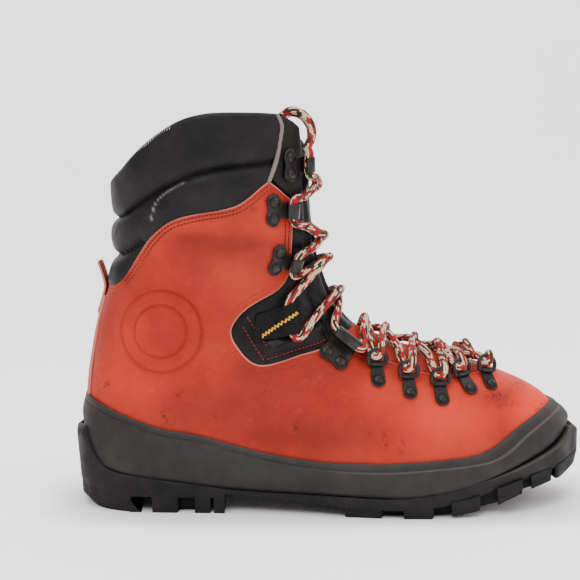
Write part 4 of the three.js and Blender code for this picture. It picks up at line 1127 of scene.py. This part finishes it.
# ---------------------------------------------------------------- outsole
BACK_EDGE = straight((0, 1.6, 5, 11, 15.7, 38, 45, 50), (9.4, 4.6, 3.2, 3, 2.2, 0.3, 0, 4.5))
TOE_WRAP = straight((17, 21.8, 24, 26, 30, 41, 44.4, 45.4),
                    (300, 305.5, 307.8, 309.2, 310, 310, 308.4, 305.5))
TOE_EXTRA = 1.6
HEEL_LIP = straight((0, 4.5, 5.8), (46, 49.8, 49.4))
TOE_LIP = straight((305.2, 308.4, 310), (45, 44.2, 42))
ROOT = straight((3, 92, 93, 163, 165, 205, 220, 236, 249, 262, 272, 290, 298, 310),
                (9.5, 9.5, 12, 6, 5, 5, 6.4, 9, 12.3, 16.5, 19, 22.5, 24.5, 28))
TREAD_Z = straight((0, 214, 227, 241, 253, 268, 277, 291, 305.5, 310),
                   (0, 0, 1.5, 3.8, 6.4, 11.8, 14.4, 16.8, 21.8, 25))


def toe_edge(z):
    """x of the toe's front at a height."""
    return TOE_EXTRA + TOE_WRAP(z)


def lip(x):
    """Height of the sole's upper edge."""
    return np.where(x < 5.8, HEEL_LIP(x), np.where(x > 305.2, TOE_LIP(x), SEAM(x)))


def sole_line(share, inset=0.0, tuck=0.0):
    """A loop of the sole's wall: share 0 at its lip and 1 at its root."""
    def line(w, side):
        x = 310 * w
        y = HALVES[side](x) - side * inset * np.sin(np.pi * w) ** 0.4
        y = np.where(w <= 0, 0, np.where(w >= 1, 10, y))
        z = lip(x) + (ROOT(x) - lip(x)) * share + tuck
        narrow = BACK_EDGE(z) + inset
        return np.stack([narrow + w * (toe_edge(z) - inset - narrow), y, z], -1)
    return line


wall_shares = np.linspace(0, 1, 12)
walls = [loop(sole_line(0, 4.0, -1.0), N), loop(sole_line(0, 1.4, 0.15), N),
         loop(sole_line(0, 0.5, -0.1), N), loop(sole_line(0, 0.05, -0.9), N)]
walls += [loop(sole_line(v, 0.0 if v < 0.9 else 0.25), N) for v in wall_shares[1:]]
walls += [loop(sole_line(1, 1.2, -0.3), N)]
for inset in (8.0, 18.0, 30.0):
    walls.append(loop(sole_line(1, inset, -0.3 if inset > 8 else -0.35), N))
count = len(walls[0])
verts = np.concatenate(walls)
strips = []
for first in (0, (len(walls) - 1) * count):
    i = np.arange(N)
    strips.append(np.stack([first + i, first + (i + 1), first + (count - i - 1) % count,
                            first + (count - i) % count], -1))
strips[0] = strips[0][:, ::-1]
worn = np.concatenate([np.full(count, 0.4 if 1 <= j <= 3 else 0.08) * np.clip((l[:, 0] - 225) / 40, 0.12, 1)
                       for j, l in enumerate(walls)])
outsole = make("outsole_wall", verts, [grid_quads(len(walls), count), *strips], SHADED_TREAD,
               attributes={"worn": worn})
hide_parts("outsole")


# Lugs at the edge (from, to, depth, sweep), set-in ones in the gaps (from, to), middle ones (x, radius).
EDGE_LUGS = ((50.2, 65, 19, 3), (75.5, 84.6, 19, 0), (86.8, 93, 30, 0), (164, 185, 22, 5),
             (198, 214.5, 24, 6), (226, 242, 24, 6), (253.5, 268.5, 23, 5), (275, 288.5, 19, 2))
GAP_LUGS = ((64, 76.5), (183, 199), (213.5, 227), (241, 254.5), (267.5, 276))
MIDDLE_LUGS = ((62, 13), (187, 15), (214, 16), (241, 15), (266, 11))
HEEL_FRONT, TOE_BACK = 36.7, 291.5


def lug_outlines():
    """The lugs in plan view."""
    shapes = []
    for first, last, deep, sweep in EDGE_LUGS:
        for side in (-1, 1):
            root = HALVES[side]((first + last) / 2) - side * deep
            edge = [(x, HALVES[side](x)) for x in np.linspace(first, last, 5)]
            shapes.append(edge + [(last + sweep, root), (first + sweep, root)])
    for first, last in GAP_LUGS:
        for side in (-1, 1):
            near, far = (HALVES[side]((first + last) / 2) - side * deep for deep in (7.5, 20))
            shapes.append([(first, near), (last, near), (last + 3, far), (first + 3, far)])
    for x, radius in MIDDLE_LUGS:
        y = 0 if x == 62 else (HALVES[-1](x) + HALVES[1](x)) / 2
        corners = np.radians(range(0, 360, 60))
        shapes.append([(x + radius * math.cos(a), y + 0.55 * radius * math.sin(a)) for a in corners])
    heel = [tuple(p) for p in OUTER_SIDE if p[0] < HEEL_FRONT][::5]
    heel_in = [tuple(p) for p in INNER_SIDE if 0 < p[0] < HEEL_FRONT][::5]
    shapes.append(heel_in[::-1] + heel + [(HEEL_FRONT, HALVES[-1](HEEL_FRONT)), (40, -16), (34, 0), (40, 16),
                                          (HEEL_FRONT, HALVES[1](HEEL_FRONT))])
    toe = [tuple(p) for p in OUTER_SIDE if p[0] > TOE_BACK][::4]
    toe_in = [tuple(p) for p in INNER_SIDE if TOE_BACK < p[0] < 309.9][::4]
    shapes.append([(TOE_BACK, HALVES[-1](TOE_BACK))] + toe + toe_in[::-1]
                  + [(TOE_BACK, HALVES[1](TOE_BACK)), (288.5, 8)])
    return shapes


def lug_x(x, z, level, centre):
    """x of a lug's corner: the heel and toe follow the sole's ends, the others flare towards the root."""
    if x < 36:
        return float(BACK_EDGE(z) + x / 310 * (toe_edge(z) - BACK_EDGE(z)))
    if x > 291.6:
        return min(x * 311.6 / 310, float(toe_edge(z)))
    if 45 < x < 291.4:
        return centre + (x - centre) * (1 + 0.06 * level**2)
    return x


def lugs():
    mesh = bpy.data.meshes.new("outsole_lugs")
    bm = bmesh.new()
    for shape in lug_outlines():
        centre = sum(q[0] for q in shape) / len(shape)
        rings = []
        for level in (0.0, 0.55, 1.0):
            ring = []
            for x, y in shape:
                z = float(TREAD_Z(x)) * (1 - level) + (float(ROOT(x)) + 2.5) * level
                place = (lug_x(x, z, level, centre), y * (1 - (0.012 * (1 - level))), z)
                ring.append(bm.verts.new(Vector(metres(place))))
            rings.append(ring)
        n = len(shape)
        for a, b in zip(rings[:-1], rings[1:]):
            for k in range(n):
                bm.faces.new((a[k], a[(k + 1) % n], b[(k + 1) % n], b[k]))
        bm.faces.new(rings[0][::-1])
        bm.faces.new(rings[-1])
    bmesh.ops.recalc_face_normals(bm, faces=bm.faces)
    sharp = [e for e in bm.edges if len(e.link_faces) == 2 and e.calc_face_angle(0) > 0.6]
    bmesh.ops.bevel(bm, geom=sharp, offset=0.0011, segments=2, profile=0.6, affect="EDGES",
                    clamp_overlap=True)
    for f in bm.faces:
        f.smooth = True
    bm.to_mesh(mesh)
    bm.free()
    mesh.set_sharp_from_angle(angle=math.radians(50))
    mesh.materials.append(SHADED_TREAD)
    obj = bpy.data.objects.new("outsole_lugs", mesh)
    scene.collection.objects.link(obj)
    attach(obj, "root")
    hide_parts("outsole")


lugs()


# ---------------------------------------------------------------- backstay
def ribbon(name, line, width, thick, material):
    """A strap with rounded edges along a side-view line, its width along y."""
    line = resample(line, 70)
    out = -left_of(line)
    t = np.linspace(0, 2 * np.pi, 33)[:-1]
    u = np.sign(np.cos(t)) * np.abs(np.cos(t)) ** 0.32
    v = np.sign(np.sin(t)) * np.abs(np.sin(t)) ** 0.75
    rings = []
    for i, (c, o) in enumerate(zip(line, out)):
        end = min(i, len(line) - 1 - i)
        half = width / 2 * min(1.0, 0.8 + 0.1 * end)
        h = thick / 2 * min(1.0, 0.5 + 0.25 * end)
        rings.append(np.stack([c[0] + o[0] * v * h, u * half, c[1] + o[1] * v * h], -1))
    verts = np.concatenate(rings)
    # The tab's red is set evenly a little brighter and a little darker, and a little worn.
    values = {key: np.full(len(verts), much) for key, much in dict(light=0.2, dark=0.05, worn=0.25).items()}
    values["edge"] = (1 - np.abs(np.tile(u, len(line)))) * 8 + 0.45
    faces = [grid_quads(len(line), len(t)), *caps(len(line), len(t))]
    return make(name, verts, faces, material, attributes=values)


def backstay_edge(rows):
    wide = np.interp(rows[:, 2], (60, 100, 128), (15, 12.5, 9))
    return np.minimum(wide - np.abs(rows[:, 1]), np.minimum(rows[:, 2] - 60, 126 - rows[:, 2]))


rows, tris = patch(np.linspace(-84, -44, 110), 150, lambda r: (r[:, 0] < 40) & (np.abs(r[:, 1]) < 22))
backstay = panel(
    "backstay_strip", rows, tris, backstay_edge, lambda r: 1.5 - rounded(r[:, 7], 1.1), everywhere(0.1),
    LEATHER, lines=(0.3, 0.8, 1.6, 2.4),
    # The strip is evenly brighter, darker along a line 1.9 mm inside its edge, and a little worn.
    attributes={"light": everywhere(0.3), "dark": lambda r: 0.6 * hump(r[:, 7] - 1.9, 0.5),
                "worn": everywhere(0.3)})
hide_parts("backstay")
tab_line = [(14.8, 115), (16.8, 121), (18.4, 126.5), (19.4, 131), (18.9, 135.2), (17.4, 140.6),
            (15.2, 146.8)]
tab = ribbon("pull_tab", spline(tab_line, 4), 16, 2.2, LEATHER)
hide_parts("backstay")


# ---------------------------------------------------------------- fittings
def seat_frame(x, z, side, towards):
    """Origin and axes (towards a second place, across, out) of a seat on the last."""
    lift = 0.6
    s, angle = on_last(x, z, side)
    g = on_last(*towards, side)
    origin, normal = skin(s, angle, lift), outward(s, angle)
    front = skin(g[0], g[1], lift) - origin
    front = unit(front - normal * (front @ normal))
    return origin, front, np.cross(normal, front), normal


def seated(points, seat):
    """Points of a seat's own axes."""
    origin, a, b, c = seat
    return origin + np.asarray(points, float) @ np.stack([a, b, c])


class Metalwork:
    """Collects the rigid shapes of one fitting into a mesh."""

    def __init__(self):
        self.verts, self.faces, self.total = [], [], 0

    def add(self, verts, seat, quads, polys=()):
        self.verts.append(seated(verts, seat))
        self.faces += [f + self.total for f in (quads, *polys)]
        self.total += len(verts)

    def plate(self, outline, low, high, seat, bevel=0.35):
        """A bevelled plate of an outline between two heights."""
        outline = np.asarray(outline, float)
        shrunk = outline + unit(outline.mean(0) - outline) * bevel
        n = len(outline)
        rings = [np.c_[line, np.full(n, h)] for line, h in
                 ((shrunk, low), (outline, low + bevel), (outline, high - bevel), (shrunk, high))]
        self.add(np.concatenate(rings), seat, grid_quads(4, n), caps(4, n))

    def dome(self, b, low, seat, radius, high):
        """A rivet's head: a washer, a groove round it and a dome."""
        profile = [(radius, 0), (radius, 0.35 * high), (radius * 0.95, 0.5 * high),
                   (radius * 0.89, 0.5 * high), (radius * 0.86, 0.25 * high), (radius * 0.81, 0.25 * high),
                   (radius * 0.76, 0.7 * high), (radius * 0.6, 0.92 * high), (radius * 0.3, high),
                   (0.05, high)]
        t = 2 * np.pi * np.arange(24) / 24
        rings = [np.stack([r * np.cos(t), b + r * np.sin(t), np.full(24, low + h)], -1) for r, h in profile]
        self.add(np.concatenate(rings), seat, grid_quads(len(profile), 24), caps(len(profile), 24))

    def rod(self, path, radius, seat, sides=12, closed=False):
        path = np.asarray(path, float)
        n = len(path)
        ahead = np.roll(path, -1, axis=0) - np.roll(path, 1, axis=0) if closed else np.gradient(path, axis=0)
        verts = rings_along(path, unit(ahead), np.full(n, radius), sides, (0.1, 0.2, 1.0))
        self.add(verts, seat, grid_quads(n, sides, closed=closed), () if closed else caps(n, sides))

    def build(self, name, material):
        self.faces.sort(key=lambda f: f.shape[1] != 4)
        return make(name, np.concatenate(self.verts), self.faces, material)


def arc(x, y, radius, first, last, count=12):
    t = np.radians(np.linspace(first, last, count))
    return [(x + radius * math.cos(a), y + radius * math.sin(a)) for a in t]


RING_SEATS = [((184, 77.4), (182.7, 88.6)), ((202.8, 70.6), (201.3, 82.6)), ((221.8, 66.4), (220.3, 75.7)),
              ((239.6, 71.4), (235.3, 77.5)), ((252.6, 72.6), (249.5, 79.6))]
INNER_ROW = (-3, -4, -5, -7, -8)
LEAN = math.radians(38)


def ring_seat(i, side):
    (x, z), (ux, uz) = RING_SEATS[i]
    back = INNER_ROW[i] if side > 0 else 0
    return seat_frame(x + back, z, side, (ux + back, uz))


def ring_loop_path():
    """The ring's closed loop, leaning off its leaf."""
    outline = [(0, -5.0)] + arc(3.5, 0, 5.5, -90, 90, 15) + [(0, 5.0)]
    straight = [(0, y) for y in np.linspace(4.5, -4.5, 7)]
    return [(10 + a * math.cos(LEAN), b, 1.9 + a * math.sin(LEAN)) for a, b in outline + straight]


def make_ring(i, side, word):
    seat = ring_seat(i, side)
    work = Metalwork()
    work.plate([(10, -3.6), (10, 3.6), (4, 4.1)] + arc(0, 0, 4.4, 85, 275, 16) + [(4, -4.1)], 0, 1.1, seat)
    work.dome(0, 1.0, seat, 3.3, 1.5)
    work.rod([(10, y, 1.9) for y in np.linspace(-3.5, 3.5, 5)], 1.8, seat, 16)
    work.rod(ring_loop_path(), 1.25, seat, 12, closed=True)
    number = len(RING_SEATS) - i
    ring = work.build(f"ring_{number}_{word}", METAL)
    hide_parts(f"d_ring_{number}_{word}")


HOOK_SEATS = [("hook_3", (124.1, 149.5), (134, 147.5), 9.5, 10),
              ("hook_2", (121.9, 178.8), (132, 178.8), 9.5, 10),
              ("hook_1", (131.2, 204.8), (139, 205.4), 9.5, 10),
              ("lock_hook", (157.4, 91.4), (164, 99), 17, 12)]
HOOK_CORE = LACE_WIDE / 2 + 0.6


def make_hook(name, at, towards, leaf, reach, side, word):
    seat = seat_frame(*at, side, towards)
    work = Metalwork()
    half = leaf / 2
    knee = 8.6 if half > 8 else 6.4
    foot = (arc(0, -4.9, 4.8, 300, 180, 12) + [(-3.6, 0)] + arc(0, 4.9, 4.8, 180, 60, 12)
            + [(3.6, knee), (4.8, half), (reach - 1, half), (reach - 1, -half), (4.8, -half), (3.6, -knee)])
    work.plate(foot, 0, 1.4, seat)
    for b in (-4.9, 4.9):
        work.dome(b, 1.4, seat, 3.7, 1.2)
    outside = HOOK_CORE + 1.4
    bend = arc(reach, outside, outside - 0.7, -90, 90, 13)
    curl = resample([(reach - 2, 0.7)] + bend + [(reach - 4.2, 2 * outside - 0.7)], 30)
    edge = np.array([(-1, -0.5), (-1, 0.5), (-0.94, 0.7), (0.94, 0.7), (1, 0.5), (1, -0.5), (0.94, -0.7),
                     (-0.94, -0.7)])
    rings = []
    for i, (c, o) in enumerate(zip(curl, left_of(curl))):
        narrow = 1 - 0.16 * (i / 29) ** 2
        rings.append(np.stack([c[0] + o[0] * edge[:, 1], edge[:, 0] * half * narrow,
                               c[1] + o[1] * edge[:, 1]], -1))
    work.add(np.concatenate(rings), seat, grid_quads(30, len(edge)), caps(30, len(edge)))
    hook = work.build(f"{name}_metal_{word}", METAL)
    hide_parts(f"{name}_{word}")


# Webbing doubled into a loop on the bellows: its own line in (along, height).
STRAP = 25.2


def make_loop(side, word):
    """The strap between its back and front edges on the last, and the zigzag sewn through it."""
    back = np.array([(110, 101.5), (112, 117)])
    front = np.array([(137.6, 105), (133.6, 123.2)])
    line = resample(spline([(0, 0.6), (7, 0.6), (13, 0.9), (15.5, 3.0), (17.5, 5.9), (20.3, 6.9),
                            (23.2, 5.9), (24.6, 3.7), (23.2, 1.5), (20.5, 0.75), (17, 0.7)], 8), 70)
    out = left_of(line)
    across = np.linspace(0, 1, 14)
    rings = []
    for sign in (1, -1):
        for c, o in zip(line, out):
            t, h = c + o * 0.62 * sign
            flat = np.array([(back[0] + (back[1] - back[0]) * w) * (1 - t / STRAP)
                             + (front[0] + (front[1] - front[0]) * w) * t / STRAP for w in across])
            s, angle = on_last(flat[:, 0], flat[:, 1], side)
            rings.append(skin(s, angle, np.full(len(across), h)))
    count, n = len(line), len(across)
    verts = np.concatenate(rings)
    i, k = np.meshgrid(np.arange(count - 1), np.arange(n - 1), indexing="ij")
    top = np.stack([i * n + k, i * n + k + 1, (i + 1) * n + k + 1, (i + 1) * n + k], -1).reshape(-1, 4)
    under = top[:, ::-1] + count * n
    i = np.arange(count - 1)
    walls = []
    for k0 in (0, n - 1):
        walls.append(np.stack([i * n + k0, (i + 1) * n + k0, (i + 1) * n + k0 + count * n,
                               i * n + k0 + count * n], -1))
    walls[1] = walls[1][:, ::-1]
    k = np.arange(n - 1)
    for i0, turn in ((0, 1), (count - 1, 0)):
        wall = np.stack([i0 * n + k, i0 * n + k + 1, i0 * n + k + 1 + count * n, i0 * n + k + count * n], -1)
        walls.append(wall if not turn else wall[:, ::-1])
    strap = make(f"webbing_loop_{word}", verts, [top, under] + walls, WEBBING)
    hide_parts(f"lace_loop_{word}")
    zigzag = []
    start, end = np.array((115.2, 104.4)), np.array((134.6, 117.2))
    ahead = (end - start) / np.linalg.norm(end - start)
    for k in range(23):
        sideways = np.array((-ahead[1], ahead[0])) * (0.8 if k % 2 else -0.8)
        zigzag.append(start + (end - start) * k / 22 + sideways)
    zigzag = resample(zigzag, 160)
    along = STRAP * (zigzag[:, 0] - 111) / 24.6
    high = np.interp(along, (0, 7, 13, 15.5, 17.5, 20.3, 23.2, 24.6),
                     (0.6, 0.6, 0.9, 3.0, 5.9, 6.9, 5.9, 3.7)) + 0.85
    points, _ = laid(zigzag, side, high)
    sewn = tube(f"zigzag_{word}", points, 0.52, YELLOW_THREAD, 8)


for word, side in (("outer", -1), ("inner", 1)):
    for i in range(5):
        make_ring(i, side, word)
    for seat in HOOK_SEATS:
        make_hook(*seat, side, word)
    make_loop(side, word)


# ---------------------------------------------------------------- lace
def way_through(kind, k, side):
    """Where the climbing lace comes to one fitting, turns in it, and leaves it."""
    if kind == "web":
        return list(laid([(136.8, 102.2), (131.9, 106.5), (130.8, 113.1), (129.4, 121), (131.4, 126)], side,
                         np.array([4.2, 3.8, 3.8, 3.8, 4.2]))[0])
    if kind == "ring":
        origin, a, b, c = ring_seat(k, side)
        eye = origin + a * (10 + 4.4 * math.cos(LEAN)) + c * (1.9 + 4.4 * math.sin(LEAN))
        climb = b * -side
        return [eye + a * 6.5 + c * 1.6 - climb * 3.0, eye + a * 0.6 + c * 0.8 - climb * 1.4,
                eye + a * 0.4 - c * 0.2 + climb * 1.4, eye + a * 6.0 - c * 0.6 + climb * 3.2]
    _, at, towards, leaf, reach = HOOK_SEATS[k]
    origin, a, b, c = seat_frame(*at, side, towards)
    eye = origin + a * (reach + 0.3) + c * (HOOK_CORE + 1.4)
    climb = b * -side * (leaf / 2 + 1.8)
    return [eye - climb + a * 1.5, eye, eye + climb + a * 1.5]


def over_tongue(p, q, rise, count=9):
    """Points of a run over the tongue between two eyes, lying on it."""
    line = []
    sp, ap = on_last(p[0], p[2], -1 if p[1] < 5 else 1)
    sq, aq = on_last(q[0], q[2], -1 if q[1] < 5 else 1)
    for k in range(1, count):
        t = k / count
        mark = skin(sp + (sq - sp) * t, ap + (aq - ap) * t,
                    LACE_WIDE / 2 + 0.4 + rise * math.sin(math.pi * t) ** 2)
        line.append(mark)
    return line


STOPS = [("ring", 4), ("ring", 3), ("ring", 2), ("ring", 1), ("ring", 0), ("hook", 3), ("web", 0),
         ("hook", 0), ("hook", 1), ("hook", 2)]


def half_lace(side):
    """From the middle of the toe bar up to the top hook, on alternate sides."""
    here = side
    bar = over_tongue(way_through("ring", 4, -1)[0], way_through("ring", 4, 1)[0], 0.3, 10)
    points = (bar[4:] if side > 0 else bar[:5][::-1]) + way_through("ring", 4, here)
    for kind, k in STOPS[1:]:
        way = way_through(kind, k, -here)
        points += over_tongue(points[-1], way[0], 3.2 if here > 0 else 0.4) + way
        here = -here
    points.append(np.array([141.8, here * 27.0, 214.6]))
    return points


for side in (-1, 1):
    line = resample(spline(half_lace(side), 8), 900)
    piece = tube(f"lace_run_{'outer' if side < 0 else 'inner'}", line, LACE_WIDE / 2, LACE, 14)
    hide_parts("lace_crossings")

# ---------------------------------------------------------------- floor and light
def stage_plane():
    """The floor, which curves up into the wall behind."""
    steps = 24
    turn = np.radians(np.linspace(0, 90, steps))
    y = np.r_[np.linspace(-3000, 1200, 8), 1200 + 900 * np.sin(turn)[1:], 2100]
    z = np.r_[np.zeros(8), 900 * (1 - np.cos(turn))[1:], 4200]
    verts = np.concatenate([np.stack([np.full(len(y), x), y, z], -1) for x in (-4000.0, 4000.0)])
    k = np.arange(len(y) - 1)
    quads = np.stack([k, k + len(y), k + 1 + len(y), k + 1], -1)
    mesh = bpy.data.meshes.new("floor")
    mesh.from_pydata([tuple(v / 1000) for v in verts], [], quads.tolist())
    for f in mesh.polygons:
        f.use_smooth = True
    m = Shade("floor_white", Roughness=0.9, Specular_IOR_Level=0.1, Emission_Color=(1, 0.98, 0.982, 1))
    parts = m.node("ShaderNodeSeparateXYZ")
    m.link(m.place, parts.inputs[0])
    # The floor glows a little all round, and the glow fades away under the boot: a painted shadow.
    along = m.math("POWER", m.math("ABSOLUTE", m.math("DIVIDE", parts.outputs[0], 0.168)), 4.0)
    across = m.math("POWER", m.math("ABSOLUTE", m.math("DIVIDE", parts.outputs[1], 0.07)), 4.0)
    lit = m.ramp(m.math("ADD", along, across), 0.2, 1.7, 0.0, 0.95)
    m.link(lit, m.shader.inputs["Emission Strength"])
    white = m.mix(m.ramp(m.noise(3, 2), 0.3, 0.7), rgb(236, 232, 233), rgb(240, 236, 237))
    mesh.materials.append(m.finish(white))
    obj = bpy.data.objects.new("floor", mesh)
    scene.collection.objects.link(obj)


stage_plane()


def light(name, place, target, size, power):
    lamp = bpy.data.lights.new(name, "AREA")
    lamp.shape = "RECTANGLE"
    lamp.size, lamp.size_y = size
    lamp.energy = power
    obj = bpy.data.objects.new(name, lamp)
    obj.location = place
    obj.rotation_euler = (Vector(target) - Vector(place)).to_track_quat("-Z", "Y").to_euler()
    scene.collection.objects.link(obj)


light("key", (-0.5, -1.3, 1.5), (0, 0, 0.08), (1.2, 1.0), 26)
light("top", (0.1, 0.1, 1.9), (0, 0, 0.1), (1.8, 1.4), 26)
light("fill", (1.4, -1.0, 0.8), (0, 0, 0.1), (1.0, 1.0), 12)
world = bpy.data.worlds.new("studio")
world.use_nodes = True
world.node_tree.nodes["Background"].inputs["Color"].default_value = (1, 0.985, 0.985, 1)
world.node_tree.nodes["Background"].inputs["Strength"].default_value = 0.7
scene.world = world
